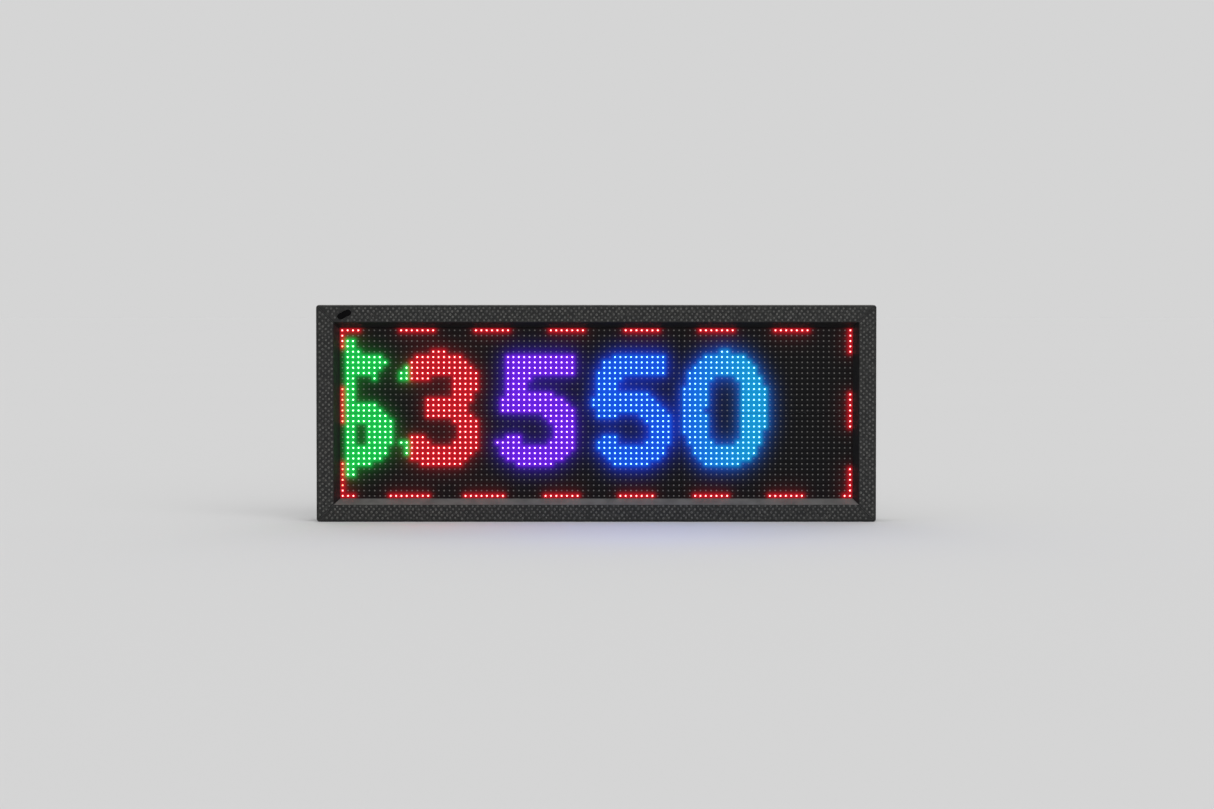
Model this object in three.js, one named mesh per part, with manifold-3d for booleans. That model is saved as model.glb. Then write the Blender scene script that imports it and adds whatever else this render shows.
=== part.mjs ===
// Solar-fed road sign with a full-colour dot-matrix face, as an assembly of separate pieces.
// Millimetres. +X is to the right of somebody reading the sign, -Y is towards them, +Z is up.
// The origin is under the middle of the sign, on the surface it stands on.
import * as THREE from "three";
import { mergeVertices } from "three/addons/utils/BufferGeometryUtils.js";
import Module from "manifold-3d";

const wasm = await Module();
wasm.setup();

// ---------------------------------------------------------------- driving dimensions
const PITCH = 10; // from one light to the next
const MODULE_W = PITCH * 32; // three modules across
const MODULE_H = PITCH * 16; // and two up

const WIDTH = 1045; // outside of the frame
const HEIGHT = 405;
const MID_Z = HEIGHT / 2;
const FRONT = -52.5; // front face of the frame
const BODY_BACK = 37.5; // rear edge of the frame's outer wall
const REAR = 52.5; // rear face of the mounting rails
const GAP = 0.3; // left between pieces that touch
const CORNER_R = 6;
const EDGE_R = 3;

// Frame extrusion: u runs inwards from the outer edge, y runs backwards.
const WALL = 2;
const FACE = 32; // flat front face
const BEVEL = 10.5; // slope from the face in to the display
const RECESS = 17; // depth of that slope
const LEDGE_U = 62; // inner edge of the flange behind the modules
const LEDGE_Y = -13.9;
const LIP_U = 20; // rear lip that carries the rear panel
const LIP_Y = 33;

// Display modules
const MASK_FRONT = -34.5;
const MASK_T = 5;
const BOARD_FRONT = MASK_FRONT + MASK_T + GAP;
const PCB_T = 1.6;
const SHELL_BACK = LEDGE_Y - GAP;
const HEADER_X = 120; // ribbon headers sit this far each side of a module's middle
const BOSS_X = 130;
const ROW_Z = { upper: MID_Z + MODULE_H / 2, lower: MID_Z - MODULE_H / 2 };
const KEEL = { y0: -11.6, y1: -1.6, z0: MID_Z - 20, z1: MID_Z + 20, t: 1.5, half: 480 };

// Ribbon cables and the plugs at their ends
const RIBBON_W = 20;
const RIBBON_T = 1.2;
const PLUG_Y0 = SHELL_BACK + GAP;
const PLUG_Y1 = PLUG_Y0 + 4.6;
const RIBBON_Y = PLUG_Y1 + RIBBON_T / 2 - 0.2;

// Rear panel, door and its opening
const PANEL = { y0: 35.3, y1: 37.3 };
const ON_PANEL = PANEL.y1 + GAP;
const OPENING = { x0: -340, x1: 220, z0: 70, z1: 340 };
const COLLAR = { t: 2, y1: 43.3 };
const DOOR = { x0: -360, x1: 240, z0: 50, z1: 360, y0: 38.5, y1: 48.5, t: 2 };
const HINGE = { x: -365, y: 46.3, zs: [110, 300], r: 4.5, bore: 2.7, pin: 2.4, length: 60, leaf: 28, t: 2 };
const LOCK = { x: 195, zs: [110, 300], r: 8, head: 11, camY0: 31, camY1: 34, reach: 38 };

// Pieces on the rear panel, right of the door
const FAN = { x: 330, z: 275, size: 80, bore: 38.5, y0: 14, rotor: 36.5, blades: 7 };
const LOUVRE = { x: 330, z: 168, w: 92, h: 62, step: 9 };
const SWITCH = { x: 290, z: 95, y0: 18, pivotY: 35.6, tilt: 8 };
const PORT = { x: 342, z: 95, y0: 20, pivotY: ON_PANEL + 4.8, pivotZ: 110.4 };
const INLET = { x: 394, z: 95, y0: 24 };
const RAIL = { x: 455, w: 40, t: 3, z0: 25, z1: 380, slotW: 9, slotL: 30, slotZ: [65, 340] };

// Tray behind the lower modules and what it carries
const TRAY = { x0: -335, x1: 212, z0: 70, z1: 215, y0: -1.3, y1: 0.2, footZ: 50, earX: 98, earZ: 332 };
const ON_TRAY = TRAY.y1 + GAP;
const BATTERY = { x0: -325, x1: -125, z0: 82, z1: 188, t: 30 };
const CHARGER = { x0: -108, x1: -12, z0: 84, z1: 186, t: 24 };
const CONVERTER = { x0: 4, x1: 92, z0: 84, z1: 186 };
const CARD = { x0: 108, x1: 204, z0: 240, z1: 326, stand: 6, header: 6 };
const FUSES = { x0: -100, x1: 84, z0: 192, z1: 211, t: 17 };

// Light sensor window in the top rail
const WINDOW = { x: -470, z: HEIGHT - 18, l: 28, w: 12.5, tilt: THREE.MathUtils.degToRad(27) };

// ---------------------------------------------------------------- materials
const finish = (color, roughness, metalness = 0) =>
  new THREE.MeshStandardMaterial({ color, roughness, metalness });
const framePaint = finish(0x2e2f2f, 0.55, 0.2);
const castAlloy = finish(0x9a9c9e, 0.45, 0.9);
const maskPlastic = finish(0x0b0b0c, 0.7);
const shellPlastic = finish(0x161718, 0.6);
const steelPaint = finish(0x36383a, 0.5, 0.3);
const zincSteel = finish(0xa9acb0, 0.4, 0.9);
const stainless = finish(0xb9bbbe, 0.3, 1);
const gasketRubber = finish(0x111111, 0.85);
const cellWrap = finish(0x1d4f9e, 0.35);
const chargerCase = finish(0x274a6d, 0.5);
const heatSink = finish(0x6c7075, 0.45, 0.8);
const circuitGreen = finish(0x155a38, 0.5);
const ribbonGrey = finish(0x8f9296, 0.6);
const cableRed = finish(0xa31515, 0.5);
const blackPlastic = finish(0x131314, 0.45);
const tintedWindow = finish(0x050505, 0.12);

// ---------------------------------------------------------------- solids
function toSolid(geometry) {
  const bare = geometry.index ? geometry.toNonIndexed() : geometry.clone();
  bare.deleteAttribute("normal");
  bare.deleteAttribute("uv");
  const merged = mergeVertices(bare, 1e-4);
  return new wasm.Manifold(
    new wasm.Mesh({
      numProp: 3,
      vertProperties: merged.attributes.position.array,
      triVerts: new Uint32Array(merged.index.array),
    }),
  );
}

function toGeometry(solid) {
  const mesh = solid.getMesh();
  return new THREE.BufferGeometry()
    .setAttribute("position", new THREE.BufferAttribute(mesh.vertProperties, 3))
    .setIndex(new THREE.BufferAttribute(mesh.triVerts, 1));
}

const join = (first, ...rest) =>
  toGeometry(rest.reduce((sum, g) => sum.add(toSolid(g)), toSolid(first)));
const cut = (body, ...tools) =>
  toGeometry(tools.reduce((left, g) => left.subtract(toSolid(g)), toSolid(body)));

// ---------------------------------------------------------------- shapes
const SWAP = new THREE.Matrix4().set(0, 0, 1, 0, 1, 0, 0, 0, 0, 1, 0, 0, 0, 0, 0, 1);
const QUARTER = Math.PI / 2;

function block([x0, y0, z0], [x1, y1, z1]) {
  const middle = [(x0 + x1) / 2, (y0 + y1) / 2, (z0 + z1) / 2];
  return new THREE.BoxGeometry(x1 - x0, y1 - y0, z1 - z0).translate(...middle);
}

const extrude = (shape, depth) => new THREE.ExtrudeGeometry(shape, { depth, bevelEnabled: false });

// An outline in X and Z, made thick from y0 to y1.
const slab = (shape, y0, y1) => extrude(shape, y1 - y0).rotateX(QUARTER).translate(0, y1, 0);

// An outline in X and Y, drawn out from z0 to z1.
const column = (shape, z0, z1) => extrude(shape, z1 - z0).translate(0, 0, z0);

// An outline in Y and Z, drawn out from x0 to x1.
const beam = (shape, x0, x1) => extrude(shape, x1 - x0).applyMatrix4(SWAP).translate(x0, 0, 0);

// Round bars along Y, Z and X.
const rod = (x, z, r, y0, y1, sides = 24) =>
  new THREE.CylinderGeometry(r, r, y1 - y0, sides).translate(x, (y0 + y1) / 2, z);
const post = (x, y, r, z0, z1, sides = 16) =>
  new THREE.CylinderGeometry(r, r, z1 - z0, sides).rotateX(QUARTER).translate(x, y, (z0 + z1) / 2);
const axle = (x, y, z, r, length) =>
  new THREE.CylinderGeometry(r, r, length, 12).rotateZ(QUARTER).translate(x, y, z);

const outline = (points) => new THREE.Shape(points.map(([a, b]) => new THREE.Vector2(a, b)));

function arc(x, z, r, from, to, steps) {
  const angles = Array.from({ length: steps + 1 }, (_, i) => from + ((to - from) * i) / steps);
  return angles.map((a) => [x + r * Math.cos(a), z + r * Math.sin(a)]);
}

const disc = (x, z, r, sides = 24) => outline(arc(x, z, r, 0, 4 * QUARTER, sides).slice(1));
const rectangle = (x0, z0, x1, z1) => outline([[x0, z0], [x1, z0], [x1, z1], [x0, z1]]);

function rounded(x0, z0, x1, z1, r, steps = 3) {
  return outline([
    ...arc(x1 - r, z0 + r, r, -QUARTER, 0, steps),
    ...arc(x1 - r, z1 - r, r, 0, QUARTER, steps),
    ...arc(x0 + r, z1 - r, r, QUARTER, 2 * QUARTER, steps),
    ...arc(x0 + r, z0 + r, r, 2 * QUARTER, 3 * QUARTER, steps),
  ]);
}

// A long round-ended shape, l by w over all, turned by tilt.
function stadium(x, z, l, w, tilt) {
  const dx = ((l - w) / 2) * Math.cos(tilt);
  const dz = ((l - w) / 2) * Math.sin(tilt);
  return outline([
    ...arc(x + dx, z + dz, w / 2, tilt - QUARTER, tilt + QUARTER, 8),
    ...arc(x - dx, z - dz, w / 2, tilt + QUARTER, tilt + 3 * QUARTER, 8),
  ]);
}

function pierced(shape, ...holes) {
  shape.holes.push(...holes);
  return shape;
}

// The outline of a flat strip of thickness t that follows a line of points.
function strip(points, t) {
  const line = points.map(([a, b]) => new THREE.Vector2(a, b));
  const edge = (side) =>
    line.map((p, i) => {
      const before = line[Math.max(i - 1, 0)];
      const after = line[Math.min(i + 1, line.length - 1)];
      const along = after.clone().sub(before).normalize();
      return [p.x - (side * along.y * t) / 2, p.y + (side * along.x * t) / 2];
    });
  return outline([...edge(-1), ...edge(1).reverse()]);
}

// A cable of radius r in straight stretches between the points.
function cable(r, ...points) {
  return points.slice(1).map((to, i) => {
    const a = new THREE.Vector3(...points[i]);
    const b = new THREE.Vector3(...to);
    const along = b.clone().sub(a);
    const turn = new THREE.Quaternion();
    turn.setFromUnitVectors(new THREE.Vector3(0, 1, 0), along.clone().normalize());
    const middle = a.add(b).multiplyScalar(0.5);
    const stretch = new THREE.CylinderGeometry(r, r, along.length() + 1.6 * r, 8);
    return stretch.applyQuaternion(turn).translate(middle.x, middle.y, middle.z);
  });
}

const root = new THREE.Group();
function add(name, geometry, material, group = root) {
  const mesh = new THREE.Mesh(geometry, material);
  mesh.name = name;
  group.add(mesh);
  return mesh;
}

// ---------------------------------------------------------------- frame
// Section of the extrusion: a closed front chamber, a flange behind the modules and a rear lip.
function frameSection() {
  const inner = FACE + BEVEL;
  const outer = outline([
    ...arc(EDGE_R, FRONT + EDGE_R, EDGE_R, 2 * QUARTER, 3 * QUARTER, 3),
    [FACE, FRONT],
    [inner, FRONT + RECESS],
    [inner, LEDGE_Y],
    [LEDGE_U, LEDGE_Y],
    [LEDGE_U, LEDGE_Y + WALL],
    [WALL, LEDGE_Y + WALL],
    [WALL, LIP_Y],
    [LIP_U, LIP_Y],
    [LIP_U, LIP_Y + WALL],
    [WALL, LIP_Y + WALL],
    [WALL, BODY_BACK],
    [0, BODY_BACK],
  ]);
  const chamber = outline([
    [WALL, FRONT + WALL],
    [FACE - 1.2, FRONT + WALL],
    [inner - WALL, FRONT + RECESS + 0.4],
    [inner - WALL, LEDGE_Y],
    [WALL, LEDGE_Y],
  ]);
  return pierced(outer, chamber);
}

// One rail along X with its outer edge down, mitred at both ends and rounded at the outer corners.
function frameRail(length, across) {
  const bar = extrude(frameSection(), 1);
  const at = bar.attributes.position;
  for (let i = 0; i < at.count; i += 1) {
    const u = at.getX(i);
    const end = at.getZ(i) > 0.5 ? -1 : 1;
    at.setXYZ(i, end * (length / 2 - u - GAP / 2), at.getY(i), u - across / 2);
  }
  const corners = rounded(-length / 2, -across / 2, length / 2, across / 2, CORNER_R, 5);
  return toGeometry(toSolid(bar).intersect(toSolid(slab(corners, FRONT - 1, REAR))));
}

function buildFrame() {
  const frame = new THREE.Group();
  frame.position.z = MID_Z;
  root.add(frame);
  const long = frameRail(WIDTH, HEIGHT);
  const short = frameRail(HEIGHT, WIDTH);
  const windowHole = slab(
    stadium(-WINDOW.x, MID_Z - WINDOW.z, WINDOW.l, WINDOW.w, WINDOW.tilt),
    FRONT - 1,
    FRONT + WALL + 1,
  );
  add("frame_rail_bottom", long, framePaint, frame);
  add("frame_rail_top", cut(long, windowHole), framePaint, frame).rotation.y = Math.PI;
  add("frame_rail_left", short, framePaint, frame).rotation.y = QUARTER;
  add("frame_rail_right", short, framePaint, frame).rotation.y = -QUARTER;

  // A cast elbow slides into the chambers of both rails at each corner.
  const leg = 62;
  const near = WALL + 1;
  const far = FACE - 3;
  const elbow = outline([
    [near + 4, near],
    [leg, near],
    [leg, far],
    [far, far],
    [far, leg],
    [near, leg],
    [near, near + 4],
  ]);
  const key = slab(elbow, FRONT + WALL + 2, LEDGE_Y - 2);
  ["bottom_left", "bottom_right", "top_right", "top_left"].forEach((place, turn) => {
    const mesh = add(`corner_key_${place}`, key, castAlloy);
    mesh.rotation.y = -turn * QUARTER;
    mesh.position.set(turn % 3 ? WIDTH / 2 : -WIDTH / 2, 0, turn > 1 ? HEIGHT : 0);
  });

  const lens = stadium(WINDOW.x, WINDOW.z, WINDOW.l - 2 * GAP, WINDOW.w - 2 * GAP, WINDOW.tilt);
  add("light_sensor_window", slab(lens, FRONT + 0.2, FRONT + WALL + 1.2), tintedWindow);
}

// ---------------------------------------------------------------- display modules
// Circuit board with an open rear shell, its screw bosses, two ribbon headers and a power header.
function moduleBoard(seamSide) {
  const w = MODULE_W / 2 - 0.8;
  const h = MODULE_H / 2 - 0.8;
  const rib = 5;
  const bayW = (2 * w - 5 * rib) / 4;
  const bayH = (2 * h - 3 * rib) / 2;
  const pcbBack = BOARD_FRONT + PCB_T;
  const bays = [];
  for (let i = 0; i < 4; i += 1)
    for (let j = 0; j < 2; j += 1) {
      const x = -w + rib + i * (bayW + rib);
      const z = -h + rib + j * (bayH + rib);
      bays.push(block([x, pcbBack, z], [x + bayW, SHELL_BACK + 1, z + bayH]));
    }
  const parts = [
    cut(block([-w, BOARD_FRONT, -h], [w, SHELL_BACK, h]), ...bays),
    block([-8, pcbBack - 0.2, -5], [8, SHELL_BACK, 5]),
  ];
  for (const x of [-HEADER_X, HEADER_X])
    parts.push(block([x - 4.5, pcbBack - 0.2, -13.5], [x + 4.5, SHELL_BACK, 13.5]));
  // The bosses along the seam between the two rows stand on the keel.
  const seam = seamSide * (h - 6);
  for (const x of [-BOSS_X, 0, BOSS_X])
    parts.push(block([x - 6, SHELL_BACK - 8, seam - 6], [x + 6, KEEL.y0 - GAP, seam + 6]));
  return join(...parts);
}

function buildModules() {
  const boards = { upper: moduleBoard(-1), lower: moduleBoard(1) };
  const face = new THREE.BoxGeometry(MODULE_W - 2 * GAP, MASK_T, MODULE_H - 2 * GAP);
  for (const [row, z] of Object.entries(ROW_Z))
    ["left", "middle", "right"].forEach((place, i) => {
      const x = (i - 1) * MODULE_W;
      const mask = add(`led_mask_${row}_${place}`, face, maskPlastic);
      mask.position.set(x, MASK_FRONT + MASK_T / 2, z);
      add(`led_board_${row}_${place}`, boards[row], shellPlastic).position.set(x, 0, z);
    });

  const { y0, y1, z0, z1, t } = KEEL;
  const bore = rectangle(y0 + t, z0 + t, y1 - t, z1 - t);
  add("module_keel", beam(pierced(rectangle(y0, z0, y1, z1), bore), -KEEL.half, KEEL.half), zincSteel);
}

// ---------------------------------------------------------------- ribbons and wiring
const plug = (x, z) => block([x - 4.2, PLUG_Y0, z - 13], [x + 4.2, PLUG_Y1, z + 13]);

function buildRibbons() {
  const half = RIBBON_W / 2;
  const reach = MODULE_W / 2 - HEADER_X;
  for (const [row, z] of Object.entries(ROW_Z))
    for (const [place, seam] of [["left", -MODULE_W / 2], ["right", MODULE_W / 2]]) {
      const bow = [-1, -0.8, -0.5, 0, 0.5, 0.8, 1].map((t) => [
        seam + t * (reach + 3),
        RIBBON_Y + 3.5 * (1 - t * t),
      ]);
      const flat = column(strip(bow, RIBBON_T), z - half, z + half);
      add(`ribbon_${row}_${place}`, join(flat, plug(seam - reach, z), plug(seam + reach, z)), ribbonGrey);
    }

  // At the left end a ribbon over the keel links the two rows.
  const { upper, lower } = ROW_Z;
  const endX = -MODULE_W - HEADER_X;
  const over = KEEL.y1 + 1.6;
  const drop = [
    [RIBBON_Y, upper + 12],
    [RIBBON_Y, upper - 14],
    [RIBBON_Y + 3, upper - 34],
    [over, KEEL.z1 + 6],
    [over, KEEL.z0 - 6],
    [RIBBON_Y + 3, lower + 34],
    [RIBBON_Y, lower + 14],
    [RIBBON_Y, lower - 12],
  ];
  const link = beam(strip(drop, RIBBON_T), endX - half, endX + half);
  add("ribbon_row_link", join(link, plug(endX, upper), plug(endX, lower)), ribbonGrey);

  // The feed runs from the controller card to the right-hand module.
  const cardX = CARD.x1 - 10;
  const cardY = ON_TRAY + CARD.stand + PCB_T + CARD.header + GAP;
  const feedX = MODULE_W + HEADER_X;
  const feed = [
    [cardX - 4, cardY + 5],
    [cardX + 8, cardY + 5],
    [cardX + 26, cardY + 1],
    [cardX + 56, 1.5],
    [cardX + 90, -4],
    [cardX + 150, -4],
    [feedX - 26, RIBBON_Y],
    [feedX + 4, RIBBON_Y],
  ];
  const socket = block([cardX - 4.2, cardY, upper - 13], [cardX + 4.2, cardY + 4.8, upper + 13]);
  const flat = column(strip(feed, RIBBON_T), upper - half, upper + half);
  add("ribbon_feed", join(flat, plug(feedX, upper), socket), ribbonGrey);
}

// The wiring is one tied loom: a supply line behind each row of modules, a riser between them, a
// trunk above the tray to the battery and the chargers, and branches to what is on the rear panel.
function buildLoom() {
  const { upper, lower } = ROW_Z;
  const y = SHELL_BACK + 6.2;
  const topZ = KEEL.z1 + 13;
  const lowZ = lower - 25;
  const riser = { x: TRAY.x1 + 13, y: ON_TRAY + 3.7 };
  const trunkZ = TRAY.z1 + 5;
  const underZ = CHARGER.z0 - 6;
  const cellX = BATTERY.x1 - 25;
  const sideX = (BATTERY.x1 + CHARGER.x0) / 2;
  const converterX = CONVERTER.x0 + 44;
  const panelX = riser.x + 37;
  const fanX = FAN.x - 22;
  const dropZ = SWITCH.z + 25;
  const parts = [
    ...cable(3, [-MODULE_W, y, topZ], [MODULE_W, y, topZ]),
    ...cable(3, [-MODULE_W, y, lowZ], [MODULE_W, y, lowZ]),
    ...cable(3.5, [riser.x, y, lowZ], [riser.x, riser.y, lowZ], [riser.x, riser.y, topZ], [riser.x, y, topZ]),
    ...cable(3.5, [FUSES.x1 + 4, 9, 201], [riser.x, 9, 201], [riser.x, riser.y, 201]),
    ...cable(3.5, [riser.x, riser.y, trunkZ], [cellX, riser.y, trunkZ]),
    ...cable(3.2, [cellX, riser.y, trunkZ], [cellX, 15, 202], [cellX, 15, BATTERY.z1 + 3]),
    ...cable(3.2, [sideX, riser.y, trunkZ], [sideX, 8, 196], [sideX, 8, underZ], [converterX, 8, underZ]),
    ...cable(3, [CHARGER.x0 + 30, 8, underZ], [CHARGER.x0 + 30, 8, CHARGER.z0 - 2.8]),
    ...cable(3, [converterX, 8, underZ], [converterX, 8, CONVERTER.z0 - 2.8]),
    ...cable(3.2, [riser.x, 9, 201], [panelX, 8, 201], [SWITCH.x, 8, dropZ], [INLET.x, 8, dropZ]),
    ...cable(2.6, [panelX, 8, 201], [fanX, 8, 226], [fanX, 8, 240], [fanX, FAN.y0 - 2.6, 240]),
  ];
  for (const device of [SWITCH, PORT, INLET])
    parts.push(
      ...cable(2.6, [device.x, 8, dropZ], [device.x, 10, device.z], [device.x, device.y0 - 2.6, device.z]),
    );
  for (const x of [-MODULE_W, 0, MODULE_W]) {
    parts.push(...cable(2.6, [x, y, topZ], [x, y, upper - 4]));
    parts.push(...cable(2.6, [x, y, lowZ], [x, y, lower - 4]));
    for (const z of [upper, lower])
      parts.push(block([x - 7.5, PLUG_Y0, z - 4.6], [x + 7.5, y + 1, z + 4.6]));
  }
  add("wiring_loom", join(...parts), cableRed);
}

// ---------------------------------------------------------------- tray and electronics
function buildElectronics() {
  // The tray hangs on the keel, and its bent foot stands on the bottom rail's flange.
  const thick = TRAY.y1 - TRAY.y0;
  const footY = LEDGE_Y + WALL + GAP;
  const bent = outline([
    [footY, TRAY.footZ],
    [footY + thick, TRAY.footZ],
    [footY + thick, TRAY.z0],
    [TRAY.y1, TRAY.z0],
    [TRAY.y1, TRAY.z1],
    [TRAY.y0, TRAY.z1],
    [TRAY.y0, TRAY.z0 + thick],
    [footY, TRAY.z0 + thick],
  ]);
  const ear = block([TRAY.earX, TRAY.y0, TRAY.z1 - 1], [TRAY.x1, TRAY.y1, TRAY.earZ]);
  add("equipment_tray", join(beam(bent, TRAY.x0, TRAY.x1), ear), zincSteel);

  const b = BATTERY;
  const wrapped = slab(rounded(b.x0, b.z0, b.x1, b.z1, 6, 4), ON_TRAY, ON_TRAY + b.t);
  add("battery_pack", wrapped, cellWrap);
  // A bent strap holds the battery down, with a foot above and below it.
  const top = ON_TRAY + b.t + GAP;
  const t = 1.5;
  const strap = outline([
    [ON_TRAY, b.z0 - 10],
    [ON_TRAY + t, b.z0 - 10],
    [ON_TRAY + t, b.z0 - GAP - t],
    [top + t, b.z0 - GAP - t],
    [top + t, b.z1 + GAP + t],
    [ON_TRAY + t, b.z1 + GAP + t],
    [ON_TRAY + t, b.z1 + 14],
    [ON_TRAY, b.z1 + 14],
    [ON_TRAY, b.z1 + GAP],
    [top, b.z1 + GAP],
    [top, b.z0 - GAP],
    [ON_TRAY, b.z0 - GAP],
  ]);
  const mid = (b.x0 + b.x1) / 2;
  add("battery_strap", beam(strap, mid - 14, mid + 14), zincSteel);

  const c = CHARGER;
  add(
    "charge_controller",
    join(
      slab(rounded(c.x0, c.z0, c.x1, c.z1, 5), ON_TRAY, ON_TRAY + 4),
      slab(rounded(c.x0 + 3, c.z0 + 3, c.x1 - 3, c.z1 - 3, 7), ON_TRAY + 3.8, ON_TRAY + c.t),
      block([c.x0 + 10, ON_TRAY + 3.8, c.z0 + 0.5], [c.x1 - 10, ON_TRAY + 14, c.z0 + 5]),
    ),
    chargerCase,
  );

  // The converter's housing is one extrusion with upright cooling fins.
  const v = CONVERTER;
  const finCount = 11;
  const step = (v.x1 - v.x0) / finCount;
  const fins = [
    [v.x0, ON_TRAY],
    [v.x1, ON_TRAY],
  ];
  for (let i = finCount - 1; i >= 0; i -= 1) {
    const x = v.x0 + i * step;
    fins.push([x + step, ON_TRAY + 24], [x + step - 2.4, ON_TRAY + 24]);
    fins.push([x + step - 2.8, ON_TRAY + 13], [x, ON_TRAY + 13]);
  }
  add("dc_converter", column(outline(fins), v.z0, v.z1), heatSink);

  const k = CARD;
  const pcb = ON_TRAY + k.stand;
  const parts = [block([k.x0, pcb, k.z0], [k.x1, pcb + PCB_T, k.z1])];
  for (const x of [k.x0 + 5, k.x1 - 5])
    for (const z of [k.z0 + 5, k.z1 - 5]) parts.push(rod(x, z, 3, ON_TRAY, pcb + 0.2, 6));
  const fitted = [
    [k.x0 + 18, k.z0 + 30, 22, 22, 2.2],
    [k.x0 + 52, k.z0 + 58, 14, 10, 2],
    [k.x0 + 20, k.z1 - 16, 16, 16, 10],
    [k.x0 + 50, k.z0 + 4, 20, 12, 9],
    [k.x1 - 14.5, ROW_Z.upper - 13.5, 9, 27, k.header],
  ];
  for (const [x, z, w, h, tall] of fitted)
    parts.push(block([x, pcb + PCB_T - 0.2, z], [x + w, pcb + PCB_T + tall, z + h]));
  add("controller_card", join(...parts), circuitGreen);

  const f = FUSES;
  const ways = [block([f.x0, ON_TRAY, f.z0], [f.x1, ON_TRAY + 9, f.z1])];
  for (let i = 0; i < 8; i += 1) {
    const x = f.x0 + 8 + i * 22;
    ways.push(block([x, ON_TRAY + 8.8, f.z0 + 3], [x + 13, ON_TRAY + f.t, f.z1 - 3]));
  }
  add("fuse_block", join(...ways), blackPlastic);
}

// ---------------------------------------------------------------- rear panel and door
function buildRear() {
  const o = OPENING;
  const opening = rounded(o.x0, o.z0, o.x1, o.z1, 6);
  const halfW = WIDTH / 2 - WALL - 0.5;
  const edgeZ = WALL + 0.5;
  const plate = pierced(
    rounded(-halfW, edgeZ, halfW, HEIGHT - edgeZ, 4),
    opening,
    disc(FAN.x, FAN.z, FAN.bore - 1),
    rectangle(LOUVRE.x - 36, LOUVRE.z - 22, LOUVRE.x + 36, LOUVRE.z + 22),
    rectangle(SWITCH.x - 9.5, SWITCH.z - 14.5, SWITCH.x + 9.5, SWITCH.z + 14.5),
    rectangle(PORT.x - 11, PORT.z - 9, PORT.x + 11, PORT.z + 9),
    disc(INLET.x, INLET.z, 9.7),
  );
  const c = COLLAR.t;
  const collar = pierced(rounded(o.x0 - c, o.z0 - c, o.x1 + c, o.z1 + c, 8), opening);
  add(
    "rear_panel",
    join(slab(plate, PANEL.y0, PANEL.y1), slab(collar, PANEL.y1 - 0.5, COLLAR.y1)),
    steelPaint,
  );

  const d = DOOR;
  const sheet = rounded(d.x0, d.z0, d.x1, d.z1, 6);
  const rim = pierced(sheet.clone(), rounded(d.x0 + d.t, d.z0 + d.t, d.x1 - d.t, d.z1 - d.t, 4));
  const skin = pierced(sheet, ...LOCK.zs.map((z) => disc(LOCK.x, z, LOCK.r + 0.5)));
  add(
    "rear_door",
    join(slab(skin, d.y1 - d.t, d.y1), slab(rim, d.y0, d.y1 - d.t + 0.2)),
    steelPaint,
  );

  const seal = pierced(
    rounded(o.x0 - 7, o.z0 - 7, o.x1 + 7, o.z1 + 7, 10),
    rounded(o.x0 + 3, o.z0 + 3, o.x1 - 3, o.z1 - 3, 4),
  );
  add("door_gasket", slab(seal, COLLAR.y1 + GAP, d.y1 - d.t - GAP), gasketRubber);

  ["lower", "upper"].forEach((place, i) => {
    buildHinge(place, HINGE.zs[i]);
    buildLock(place, LOCK.zs[i]);
  });
}

// A butt hinge: outer knuckles on the cabinet leaf, the middle one on the door leaf.
function buildHinge(place, z) {
  const h = HINGE;
  const z0 = z - h.length / 2;
  const z1 = z + h.length / 2;
  const third = h.length / 3;
  const bore = post(h.x, h.y, h.bore, z0 - 1, z1 + 1);
  const cabinet = [block([h.x - h.leaf, ON_PANEL, z0], [h.x - 2, ON_PANEL + h.t, z1])];
  for (const [a, b] of [[z0, z0 + third - GAP], [z1 - third + GAP, z1]])
    cabinet.push(
      post(h.x, h.y, h.r, a, b),
      block([h.x - h.r, ON_PANEL, a], [h.x - h.r + h.t, h.y, b]),
    );
  add(`hinge_leaf_cabinet_${place}`, cut(join(...cabinet), bore), stainless);

  const top = h.y + h.r;
  const door = [
    block([h.x + 6, top - h.t, z0], [h.x + h.leaf + 4, top, z1]),
    block([h.x, top - h.t, z0 + third], [h.x + 7, top, z1 - third]),
    post(h.x, h.y, h.r, z0 + third, z1 - third),
  ];
  add(`hinge_leaf_door_${place}`, cut(join(...door), bore), stainless);
  const pin = [
    post(h.x, h.y, h.pin, z0 - 1, z1 + 1),
    post(h.x, h.y, 3.6, z1 + GAP, z1 + 2),
    post(h.x, h.y, 3.6, z0 - 2, z0 - GAP),
  ];
  add(`hinge_pin_${place}`, join(...pin), stainless);
}

// A quarter-turn lock: the barrel passes through the door and turns the cam with it. The cam
// hangs clear of the panel when unlocked, and reaches behind the panel's edge when turned.
function buildLock(place, z) {
  const l = LOCK;
  const head = DOOR.y1 + GAP;
  const barrel = join(rod(l.x, z, l.head, head, head + 3), rod(l.x, z, l.r, l.camY1 + GAP, head + 0.2));
  const slot = block([l.x - 0.9, head + 1.6, z - 4.5], [l.x + 0.9, head + 5, z + 4.5]);
  add(`lock_barrel_${place}`, cut(barrel, slot), stainless);
  const cam = outline([
    ...arc(l.x, z, 8, 0, 2 * QUARTER, 8),
    [l.x - 6, z - l.reach],
    [l.x + 6, z - l.reach],
  ]);
  add(`lock_cam_${place}`, slab(cam, l.camY0, l.camY1), zincSteel);
}

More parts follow.
